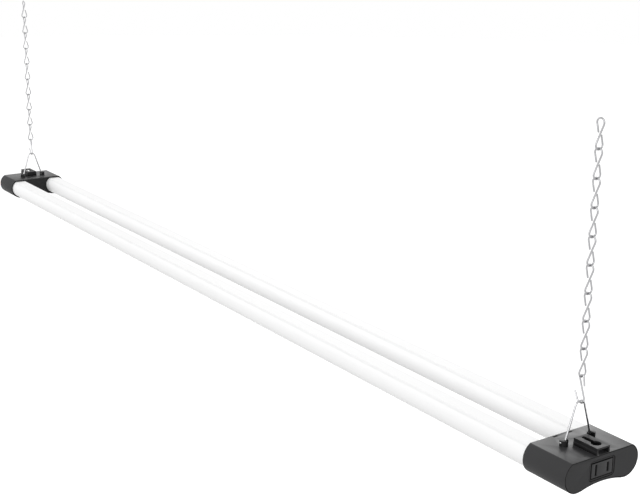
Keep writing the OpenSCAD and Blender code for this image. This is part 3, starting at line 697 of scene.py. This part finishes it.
def bent_wire_tree():
    """Sweeps a round wire along a path, rounds its cut ends and keeps its length for the finish."""
    tree, nodes, links, given = new_tree(
        "bent_wire",
        [("Path", "Geometry"), ("Wire radius", "Float"), ("End rounding", "Float"), ("Sides", "Int"),
         ("Finish", "Material")],
        "Wire")

    def calc(operation, *values):
        return math_node(nodes, links, operation, *values)

    curve = nodes.new("GeometryNodeMeshToCurve")
    links.new(given.outputs["Path"], curve.inputs["Mesh"])
    along = nodes.new("GeometryNodeSplineParameter").outputs["Length"]
    whole = nodes.new("GeometryNodeSplineLength").outputs["Length"]
    from_end = calc("MINIMUM", along, calc("SUBTRACT", whole, along))
    share = calc("MINIMUM", calc("DIVIDE", from_end, given.outputs["End rounding"]), 1.0)
    short = calc("SUBTRACT", 1.0, share)
    swell = calc("SQRT", calc("SUBTRACT", END_FULLNESS, calc("MULTIPLY", short, short)))
    swell = calc("MINIMUM", swell, 1.0)
    kept = nodes.new("GeometryNodeStoreNamedAttribute")
    kept.data_type = "FLOAT"
    kept.domain = "POINT"
    kept.inputs["Name"].default_value = ALONG_WIRE
    links.new(curve.outputs["Curve"], kept.inputs["Geometry"])
    links.new(along, kept.inputs["Value"])
    sized = nodes.new("GeometryNodeSetCurveRadius")
    links.new(kept.outputs["Geometry"], sized.inputs["Curve"])
    links.new(calc("MULTIPLY", swell, given.outputs["Wire radius"]), sized.inputs["Radius"])
    ring = nodes.new("GeometryNodeCurvePrimitiveCircle")
    ring.inputs["Radius"].default_value = 1
    links.new(given.outputs["Sides"], ring.inputs["Resolution"])
    swept = nodes.new("GeometryNodeCurveToMesh")
    swept.inputs["Fill Caps"].default_value = True
    links.new(sized.outputs["Curve"], swept.inputs["Curve"])
    links.new(ring.outputs["Curve"], swept.inputs["Profile Curve"])
    radius = nodes.new("GeometryNodeInputRadius")
    links.new(radius.outputs[0], swept.inputs["Scale"])
    end_tree(nodes, links, swept.outputs["Mesh"], given.outputs["Finish"])
    return tree


BENT_WIRE = bent_wire_tree()
END_ROUNDING = 0.3
WIRE_SIDES = 16
LINK_SIDES = 12


def with_cut_ends(points, rounding):
    """Adds points near both ends of a path, so that the rounded cut has its shape."""
    shares = (0.03, 0.12, 0.3, 0.6, 1)

    def near(end, following):
        way = (following - end).normalized()
        return [end + way * rounding * share for share in shares]

    head = [points[0]] + near(points[0], points[1])
    tail = [points[-1]] + near(points[-1], points[-2])
    return head + points[1:-1] + tail[::-1]


def wire_piece(name, points, diameter, slot, sides=WIRE_SIDES):
    rounding = END_ROUNDING * diameter
    path = with_cut_ends([Vector(p) for p in points], rounding)
    mesh = bpy.data.meshes.new(name)
    mesh.from_pydata(path, [(i, i + 1) for i in range(len(path) - 1)], [])
    piece = grown(name, mesh, BENT_WIRE, {"Wire radius": diameter / 2, "End rounding": rounding,
                                          "Sides": sides, "Finish": FINISHES[slot]})
    smooth(piece, sharp_angle=50)
    return piece


def arc(centre, radius, start, end, across, up, steps):
    """Points of an arc, its angles in degrees from across towards up."""
    angles = [math.radians(start + (end - start) * i / steps) for i in range(steps + 1)]
    return [centre + radius * (math.cos(a) * across + math.sin(a) * up) for a in angles]


def rounded_corner(before, corner, after, radius, steps=8):
    """Points that turn a corner on an arc of this radius."""
    first, second = (before - corner).normalized(), (after - corner).normalized()
    half = first.angle(second) / 2
    middle = corner + (first + second).normalized() * radius / math.sin(half)
    start = corner + first * radius / math.tan(half) - middle
    end = corner + second * radius / math.tan(half) - middle
    start.normalize()
    end.normalize()
    return [middle + start.slerp(end, i / steps) * radius for i in range(steps + 1)]


X = Vector((1, 0, 0))
Y = Vector((0, 1, 0))
Z = Vector((0, 0, 1))

# D is a wire's diameter and R a bend's radius, to the wire's middle. A tail is how far its tip
# lies outside its bend, and how far along from the bend's centre.
BAIL_D = 1.7 * MM
BAIL_LEG_Y = 13.7 * MM
BAIL_PEAK_R = 5 * MM
BAIL_FOOT_BEND = 1.1 * MM
HOOK_D = 1.5 * MM
HOOK_LOW_R = 3.7 * MM
HOOK_HIGH_R = 2.2 * MM
HOOK_H = 22.9 * MM
HOOK_LOW_TAIL = (2.7 * MM, 4.6 * MM)
HOOK_HIGH_TAIL = (1 * MM, 6.2 * MM)
CHAIN_D = 1.45 * MM
LINK_R = 3.5 * MM
LINK_TAIL = (1.5 * MM, 0.6 * MM)
LINK_DROOP = 25
HANG_GAP = 0.15 * MM


def bail_path(end):
    """From a foot up one leg, over the peak and down the other leg, as one bent wire."""
    pivot = Vector(JOINTS[end + "_bail_pivot"]["pos_m"])
    peak = Vector(JOINTS[end + "_s_hook_swing"]["pos_m"])
    foot_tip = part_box(end + "_bail")[1].y
    top = peak - Z * BAIL_PEAK_R
    foot = pivot + Y * BAIL_LEG_Y
    reach = (top - foot).length
    lean = math.atan2(BAIL_LEG_Y, top.z - foot.z) - math.asin(BAIL_PEAK_R / reach)
    leg_end = foot + math.sqrt(reach ** 2 - BAIL_PEAK_R ** 2) * (math.cos(lean) * Z - math.sin(lean) * Y)
    right = [pivot + Y * foot_tip] + rounded_corner(pivot + Y * foot_tip, foot, leg_end, BAIL_FOOT_BEND)
    lean = math.degrees(lean)
    peak_arc = arc(top, BAIL_PEAK_R, lean, 90, Y, Z, steps=14)
    half = right + peak_arc
    mirrored = [Vector((p.x, 2 * pivot.y - p.y, p.z)) for p in half[-2::-1]]
    return half + mirrored


def leaves_bend(radius, tip):
    """The angle, in degrees, at which a straight tail to this tip leaves its bend."""
    return math.degrees(math.acos(radius / tip.length) - math.atan2(tip.y, tip.x))


def hook_path(end):
    """An S: a wide bend under the bail, a straight spine and a narrow bend for the chain."""
    hung = Vector(JOINTS[end + "_s_hook_swing"]["pos_m"])
    low = hung - Z * (BAIL_D / 2 + HOOK_D / 2 + HANG_GAP)
    low_centre = low + Z * HOOK_LOW_R
    high_centre = low + Z * (HOOK_H - HOOK_HIGH_R)
    spine = high_centre - low_centre
    lean = math.degrees(math.asin((HOOK_LOW_R + HOOK_HIGH_R) / spine.length))
    low_tip = Vector((HOOK_LOW_R + HOOK_LOW_TAIL[0], HOOK_LOW_TAIL[1]))
    high_tip = Vector((HOOK_HIGH_R + HOOK_HIGH_TAIL[0], HOOK_HIGH_TAIL[1]))
    low_start = 180 + leaves_bend(HOOK_LOW_R, low_tip)
    high_end = leaves_bend(HOOK_HIGH_R, high_tip)
    return ([low_centre - X * low_tip.x + Z * low_tip.y]
            + arc(low_centre, HOOK_LOW_R, low_start, 360 + lean, X, Z, steps=24)
            + arc(high_centre, HOOK_HIGH_R, 180 + lean, high_end, X, Z, steps=24)
            + [high_centre + X * high_tip.x - Z * high_tip.y])


def link_path(node):
    """A link of jack chain: two loops, one turned a quarter from the other."""
    low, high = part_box(node)
    middle = (low + high) / 2
    middle.x, middle.y = JOINTS[node.split("_")[0] + "_bail_pivot"]["pos_m"][0], 0
    loop = (high.z - low.z) / 2 - CHAIN_D / 2 - LINK_R
    return ([middle - X * LINK_TAIL[0] + Z * LINK_TAIL[1]]
            + arc(middle + Z * loop, LINK_R, 180 + LINK_DROOP, -LINK_DROOP, X, Z, steps=20)
            + arc(middle - Z * loop, LINK_R, 180 - LINK_DROOP, 360 + LINK_DROOP, Y, Z, steps=20)
            + [middle + Y * LINK_TAIL[0] - Z * LINK_TAIL[1]])


def add_wires():
    for end in ENDS:
        bail = wire_piece(end + "_bail_wire", bail_path(end), BAIL_D, "bail_steel")
        stand_for(bail, end + "_bail")
        hook = wire_piece(end + "_hook_wire", hook_path(end), HOOK_D, "hook_steel")
        stand_for(hook, end + "_s_hook")
        for i in range(1, LINK_COUNT + 1):
            node = f"{end}_chain_link_{i}"
            link = wire_piece(node + "_wire", link_path(node), CHAIN_D, "chain_steel", LINK_SIDES)
            stand_for(link, node)


# ---------- tubes ----------

# V is a height over a tube's centre and Y a distance from its middle
TUBE_R = 12 * MM
TUBE_FLAT_W = 13.5 * MM
TUBE_PITCH = 52 * MM
DIFFUSER_WALL = 1 * MM
DIFFUSER_RIM_CUT = 0.12 * MM
RAIL_PLATE = 1.2 * MM
RAIL_LEG = 0.8 * MM
RAIL_CAVITY = 2.6 * MM
LED_BOARD_W = 9.4 * MM
LED_BOARD_T = 1 * MM
SLIDE_GAP = 0.15 * MM
SHELF_T = 0.8 * MM
SHELF_REACH = 0.6 * MM
TOE_T = 0.9 * MM
TOE_REACH = 1.2 * MM
LIP_T = 0.8 * MM

FLAT_V = math.sqrt(TUBE_R ** 2 - (TUBE_FLAT_W / 2) ** 2)
PLATE_UNDER_V = FLAT_V - RAIL_PLATE
BOARD_UNDER_V = PLATE_UNDER_V - RAIL_CAVITY - LED_BOARD_T
RAIL_FOOT_V = BOARD_UNDER_V - SLIDE_GAP - SHELF_T
LEG_IN_Y = LED_BOARD_W / 2 + SLIDE_GAP
LEG_OUT_Y = LEG_IN_Y + RAIL_LEG
TOE_OUT_Y = LEG_OUT_Y + TOE_REACH
LIP_V = RAIL_FOOT_V + TOE_T + SLIDE_GAP
TUBE_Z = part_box("front_diffuser")[0].z + TUBE_R


def section_piece(name, outline, from_x, to_x, side):
    """Extrudes a closed section, drawn as (across, up from the tube's centre), along the light."""
    rings = [[(x, side * TUBE_PITCH / 2 + y, TUBE_Z + v) for y, v in outline] for x in (from_x, to_x)]
    piece = joined_rings(name, rings)
    smooth(piece)
    return piece


def polar(radius, start, end, steps):
    angles = [math.radians(start + (end - start) * i / steps) for i in range(steps + 1)]
    return [(radius * math.cos(a), radius * math.sin(a)) for a in angles]


def diffuser_outline():
    """The frosted tube's section: a ring, open under the rail's plate, with two inner lips."""
    top_v = PLATE_UNDER_V - SLIDE_GAP
    inner_r = TUBE_R - DIFFUSER_WALL
    outer_top = math.degrees(math.asin((top_v - DIFFUSER_RIM_CUT) / TUBE_R))
    rim_out = TUBE_R * math.cos(math.radians(outer_top)) - DIFFUSER_RIM_CUT
    lip_top = LIP_V + LIP_T
    inner_top = math.degrees(math.asin(top_v / inner_r))
    lip_high = math.degrees(math.asin(lip_top / inner_r))
    lip_low = math.degrees(math.asin(LIP_V / inner_r))
    lip_in = LEG_OUT_Y + SLIDE_GAP
    right = (polar(TUBE_R, -90, outer_top, 72) + [(rim_out, top_v)]
             + polar(inner_r, inner_top, lip_high, 6) + [(lip_in, lip_top), (lip_in, LIP_V)]
             + polar(inner_r, lip_low, -90, 48))
    return right + [(-y, v) for y, v in right[-2:0:-1]]


def rail_outline():
    """The rail's section: a top plate with round flanks, two legs, their shelves and toes."""
    top_a = math.degrees(math.asin(FLAT_V / TUBE_R))
    under_a = math.degrees(math.asin(PLATE_UNDER_V / TUBE_R))
    shelf_in = LEG_IN_Y - SHELF_REACH
    half = ([(0, PLATE_UNDER_V), (LEG_IN_Y, PLATE_UNDER_V), (LEG_IN_Y, RAIL_FOOT_V + SHELF_T),
             (shelf_in, RAIL_FOOT_V + SHELF_T), (shelf_in, RAIL_FOOT_V), (TOE_OUT_Y, RAIL_FOOT_V),
             (TOE_OUT_Y, RAIL_FOOT_V + TOE_T), (LEG_OUT_Y, RAIL_FOOT_V + TOE_T),
             (LEG_OUT_Y, PLATE_UNDER_V)]
            + polar(TUBE_R, under_a, top_a, 6) + [(0, FLAT_V)])
    return half + [(-y, v) for y, v in half[::-1] if y > 0]


def add_tubes():
    for name, side in (("front", -1), ("rear", 1)):
        low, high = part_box(name + "_diffuser")
        tube = section_piece(name + "_diffuser_frosted", diffuser_outline(), low.x, high.x, side)
        stand_for(tube, name + "_diffuser")
        low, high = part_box(name + "_rail")
        rail = section_piece(name + "_rail_coated", rail_outline(), low.x, high.x, side)
        stand_for(rail, name + "_rail")


# ---------- mouldings ----------

# how far the sharp edges are rounded
CAP_SOFT = 0.2 * MM
BRACKET_SOFT = 0.12 * MM
MOULDED = {
    "outlet_carrier": 0.15 * MM,
    "cord_carrier": 0.15 * MM,
    "outlet_insert": 0.12 * MM,
    "cord_gland": 0.2 * MM,
    "driver_transformer": 0.3 * MM,
    "driver_terminal": 0.15 * MM,
    "driver_capacitors": 0.3 * MM,
    "driver_fuse": 0.15 * MM,
    "outlet_contacts": 0.05 * MM,
    "driver_board": 0.12 * MM,
    "front_led_board": 0.1 * MM,
    "rear_led_board": 0.1 * MM,
}
# the seam round an end face
SEAM_IN = 0.3 * MM
SEAM_W = 0.55 * MM
SEAM_DEPTH = 0.8 * MM
# the outlet's panel and the hole for its face, with a moat beside each
PANEL_W = 27.7 * MM
PANEL_H = 16.8 * MM
PANEL_R = 3 * MM
MOAT_W = 0.6 * MM
MOAT_DEPTH = 1.2 * MM
MOAT_OVER = 0.07 * MM
FACE_HOLE_W = 23.6 * MM
FACE_HOLE_H = 13.1 * MM
FACE_HOLE_R = 0.05 * MM
FACE_MOAT_W = 0.45 * MM
# the cap's rim, whose wall is cut back behind a thin lip
CAP_WALL = 1.5 * MM
LIP_W = 0.2 * MM
LIP_DEPTH = 1.2 * MM
# the step in a bracket's long sides, from its top and inwards
STEP_DOWN = 3.3 * MM
STEP_IN = 0.3 * MM
# how far a groove's cutter stands over the face, and the least that an outline's corner opens
CUTTER_OVER = 1 * MM
LEAST_OPENING = 0.3
FACE_GAP = 0.01 * MM
FACE_TURN = 0.99
SLIVER_W = 0.004 * MM
SLIVER_AREA = 1e-12


def end_outline(piece, end_x):
    """The outer edge, as (across, up), of a moulding's flat end."""
    shape = bmesh.new()
    shape.from_mesh(piece.data)
    faces = {face for face in shape.faces
             if abs(face.normal.x) > FACE_TURN and abs(face.calc_center_median().x - end_x) < FACE_GAP}
    edges = [edge for edge in shape.edges if len(faces.intersection(edge.link_faces)) == 1]
    loops = []
    while edges:
        edge = edges.pop(0)
        start, vertex = edge.verts
        loop = [start]
        while vertex is not start:
            loop.append(vertex)
            edge = next(other for other in vertex.link_edges if other in edges)
            edges.remove(edge)
            vertex = edge.other_vert(vertex)
        loops.append([(v.co.y, v.co.z) for v in loop])
    shape.free()
    return max(loops, key=lambda loop: max(y for y, z in loop) - min(y for y, z in loop))


def shrunk(outline, inset):
    """The outline moved inwards, or outwards where the inset is below zero."""
    points = [Vector(point) for point in outline]
    count = len(points)
    area = sum(points[i - 1].cross(points[i]) for i in range(count))
    moved = []
    for i in range(count):
        ahead = (points[(i + 1) % count] - points[i]).normalized()
        behind = (points[i] - points[i - 1]).normalized()
        first, second = (Vector((-way.y, way.x)) * math.copysign(1, area) for way in (behind, ahead))
        moved.append(points[i] + (first + second) * inset / max(1 + first.dot(second), LEAST_OPENING))
    return [tuple(point) for point in moved]


def cut_groove(piece, outline, inset, width, top_x, depth, way):
    """Cuts a groove that follows an outline on a face at top_x, which looks to way along X."""
    outer, inner = shrunk(outline, inset), shrunk(outline, inset + width)
    high_x = top_x + way * CUTTER_OVER
    low_x = top_x - way * depth
    rings = [[(x, y, z) for y, z in loop]
             for x, loop in ((low_x, outer), (high_x, outer), (high_x, inner), (low_x, inner))]
    cut(piece, joined_rings("groove", rings, closed=True))


def rounded_rectangle(width, height, radius, middle_z):
    corners = ((1, 1, 0), (-1, 1, 90), (-1, -1, 180), (1, -1, 270))
    return [(side * (width / 2 - radius) + y, middle_z + up * (height / 2 - radius) + v)
            for side, up, start in corners for y, v in polar(radius, start, start + 90, 6)]


def add_shells():
    """The outer mouldings: thin-lipped rims, a fine seam round each end face, the outlet's moats."""
    for end, way in ENDS.items():
        node = end + "_cap_shell"
        shell = cleaned(node)
        end_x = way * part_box("outlet_cap_shell")[1].x
        outline = end_outline(shell, end_x)
        rim_x = way * RIM_X
        rim = end_outline(shell, rim_x)
        if end == "outlet":
            panel = rounded_rectangle(PANEL_W, PANEL_H, PANEL_R, TUBE_Z)
            cut_groove(shell, panel, -MOAT_OVER, MOAT_W, end_x, MOAT_DEPTH, way)
            face = rounded_rectangle(FACE_HOLE_W, FACE_HOLE_H, FACE_HOLE_R, TUBE_Z)
            cut_groove(shell, face, -FACE_MOAT_W, FACE_MOAT_W + MOAT_OVER, end_x, MOAT_DEPTH, way)
        merge_flat(shell.data)
        soften(shell, CAP_SOFT)
        cut_groove(shell, outline, SEAM_IN, SEAM_W, end_x, SEAM_DEPTH, way)
        cut_groove(shell, rim, LIP_W, CAP_WALL - LIP_W + MOAT_OVER, rim_x, LIP_DEPTH, -way)
        smooth(shell)
        stand_for(shell, node)


def add_brackets():
    """The keyhole brackets, whose upper part stands a little inside their foot."""
    for end in ENDS:
        node = end + "_keyhole_bracket"
        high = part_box(node)[1]
        bracket = cleaned(node)
        shape = bmesh.new()
        shape.from_mesh(bracket.data)
        for height in (high.z - STEP_DOWN, high.z - STEP_DOWN + STEP_IN / 2):
            bmesh.ops.bisect_plane(shape, geom=shape.verts[:] + shape.edges[:] + shape.faces[:],
                                   plane_co=(0, 0, height), plane_no=(0, 0, 1))
        for vertex in shape.verts:
            over_step = vertex.co.z > high.z - STEP_DOWN + STEP_IN / 4
            if over_step and abs(vertex.co.y) > high.y - STEP_IN / 2:
                vertex.co.y -= math.copysign(STEP_IN, vertex.co.y)
        shape.to_mesh(bracket.data)
        shape.free()
        stand_for(soften(bracket, BRACKET_SOFT), node)


def add_mouldings():
    for node, radius in MOULDED.items():
        stand_for(soften(cleaned(node), radius), node)


def add_leads():
    """The insulated wires keep the model's own paths, without its empty slivers."""
    for node in ("through_wires", "board_leads"):
        piece = cleaned(node)
        shape = bmesh.new()
        shape.from_mesh(piece.data)
        bmesh.ops.dissolve_degenerate(shape, dist=SLIVER_W, edges=shape.edges)
        loose = [face for face in shape.faces if face.calc_area() < SLIVER_AREA]
        bmesh.ops.delete(shape, geom=loose, context="FACES")
        shape.to_mesh(piece.data)
        shape.free()
        smooth(piece, sharp_angle=40)
        stand_for(piece, node)


# ---------- screws and emitters ----------

def placed_copies_tree():
    """Sets a copy of an item on every point of a mesh, each turned by chance where a spin is given."""
    tree, nodes, links, given = new_tree(
        "placed_copies",
        [("Places", "Geometry"), ("Item", "Object"), ("Spin", "Float"), ("Seed", "Int"),
         ("Finish", "Material")],
        "Copies")
    item = nodes.new("GeometryNodeObjectInfo")
    links.new(given.outputs["Item"], item.inputs["Object"])
    chance = nodes.new("FunctionNodeRandomValue")
    chance.data_type = "FLOAT"
    most = next(socket for socket in chance.inputs if socket.name == "Max" and socket.type == "VALUE")
    drawn = next(socket for socket in chance.outputs if socket.type == "VALUE")
    links.new(given.outputs["Spin"], most)
    links.new(given.outputs["Seed"], chance.inputs["Seed"])
    turn = nodes.new("ShaderNodeCombineXYZ")
    links.new(drawn, turn.inputs["Z"])
    spread = nodes.new("GeometryNodeInstanceOnPoints")
    links.new(given.outputs["Places"], spread.inputs["Points"])
    links.new(item.outputs["Geometry"], spread.inputs["Instance"])
    links.new(turn.outputs[0], spread.inputs["Rotation"])
    end_tree(nodes, links, spread.outputs["Instances"], given.outputs["Finish"])
    return tree


PLACED_COPIES = placed_copies_tree()

CAP_SCREW = {"shank_d": 3 * MM, "head_d": 5.6 * MM, "head_t": 1.6 * MM, "head_way": -1}
BOARD_SCREW = {"shank_d": 2 * MM, "head_d": 3.8 * MM, "head_t": 1.4 * MM, "head_way": 1}
SCREWED = {
    "outlet_rail_screws": CAP_SCREW,
    "cord_rail_screws": CAP_SCREW,
    "outlet_cap_screws": CAP_SCREW,
    "cord_cap_screws": CAP_SCREW,
    "driver_screws": BOARD_SCREW,
}
THREAD_PITCH = 0.8 * MM
THREAD_DEPTH = 0.2 * MM
THREAD_FROM_TIP = 0.4 * MM
THREAD_RELIEF = 0.02 * MM
TIP_SHARE = 0.3
# the cross recess: its arms as shares of the head's diameter, its floor as a share of the head's
# height, and how its floor and mouth are scaled
CROSS_ARM = 0.3
CROSS_HALF_W = 0.075
CROSS_FLOOR = 0.4
CROSS_FLOOR_SCALE = 0.7
CROSS_MOUTH_SCALE = 1.2
# the pan head's profile, as shares of its radius and its height
PAN_HEAD = [(0.97, 0.0), (1.0, 0.06), (1.0, 0.35), (0.95, 0.6), (0.82, 0.82), (0.6, 0.95), (0.3, 1.0)]
EMITTER = (3.5 * MM, 2.8 * MM, 0.8 * MM)
# the package's rings, as (distance in from its sides in mm, share of its height)
EMITTER_RINGS = [(0, 0.5), (0, -0.35), (0.06, -0.5), (0.35, -0.5), (0.5, -0.2)]


def island_boxes(mesh):
    """The low and high corner of each separate body in a mesh."""
    shape = bmesh.new()
    shape.from_mesh(mesh)
    bmesh.ops.remove_doubles(shape, verts=shape.verts, dist=MERGE_GAP)
    waiting, boxes = set(shape.verts), []
    while waiting:
        body, edge_of_search = set(), [waiting.pop()]
        while edge_of_search:
            vertex = edge_of_search.pop()
            body.add(vertex)
            near = {edge.other_vert(vertex) for edge in vertex.link_edges} & waiting
            waiting -= near
            edge_of_search.extend(near)
        spans = [[vertex.co[axis] for vertex in body] for axis in range(3)]
        boxes.append((Vector([min(span) for span in spans]), Vector([max(span) for span in spans])))
    shape.free()
    return sorted(boxes, key=lambda box: tuple(round(value, 5) for value in box[0]))


def circle(radius, height, sides=32):
    turns = [2 * math.pi * i / sides for i in range(sides)]
    return [(radius * math.cos(turn), radius * math.sin(turn), height) for turn in turns]


def pan_screw(length, shank_d, head_d, head_t, head_way):
    """A pan-head screw with a cross recess, its middle at the origin and its head up or down."""
    seat = length / 2 - head_t
    rings = [circle(TIP_SHARE * shank_d, -length / 2)]
    height = -length / 2 + THREAD_FROM_TIP
    while height < seat - THREAD_PITCH:
        rings.append(circle(shank_d / 2 - THREAD_DEPTH, height))
        rings.append(circle(shank_d / 2, height + THREAD_PITCH / 2))
        height += THREAD_PITCH
    rings.append(circle(shank_d / 2 - THREAD_DEPTH, seat - THREAD_RELIEF))
    rings += [circle(share * head_d / 2, seat + up * head_t) for share, up in PAN_HEAD]
    screw = joined_rings("screw", [[(x, y, head_way * z) for x, y, z in ring] for ring in rings])
    arm = CROSS_ARM * head_d
    half = CROSS_HALF_W * head_d
    cross = [(arm, -half), (arm, half), (half, half), (half, arm), (-half, arm), (-half, half),
             (-arm, half), (-arm, -half), (-half, -half), (-half, -arm), (half, -arm), (half, -half)]
    ends = ((seat + CROSS_FLOOR * head_t, CROSS_FLOOR_SCALE), (length / 2 + head_t, CROSS_MOUTH_SCALE))
    recess = joined_rings("recess", [[(x * share, y * share, head_way * z) for x, y in cross]
                                     for z, share in ends])
    cut(screw, recess)
    smooth(screw, sharp_angle=30)
    return screw


def emitter():
    """One light emitter: a square package with a sunk window, facing down."""
    length, width, height = EMITTER
    corners = ((1, 1), (-1, 1), (-1, -1), (1, -1))
    rings = [[(side * (length / 2 - inset * MM), across * (width / 2 - inset * MM), share * height)
              for side, across in corners] for inset, share in EMITTER_RINGS]
    return joined_rings("emitter", rings)


def add_copies(node, item, spin, seed):
    """One mesh of copies of the item, at the middles of a node's bodies."""
    places = bpy.data.meshes.new(node)
    boxes = island_boxes(frame["nodes"][node].data)
    places.from_pydata([(low + high) / 2 for low, high in boxes], [], [])
    piece = grown(node + "_copies", places, PLACED_COPIES,
                  {"Item": item, "Spin": spin, "Seed": seed, "Finish": FINISHES[SLOT_OF[node]]})
    discard(item)
    stand_for(piece, node)


def add_screws():
    for seed, (node, kind) in enumerate(SCREWED.items()):
        low, high = island_boxes(frame["nodes"][node].data)[0]
        add_copies(node, pan_screw(high.z - low.z, **kind), spin=math.pi, seed=seed)


def add_emitters():
    for node in ("front_leds", "rear_leds"):
        add_copies(node, emitter(), spin=0.0, seed=1)


add_camera()
add_world()
add_lamps()
add_floor()
add_wires()
add_tubes()
add_shells()
add_brackets()
add_mouldings()
add_leads()
add_screws()
add_emitters()

bpy.context.scene.view_settings.view_transform = "Standard"
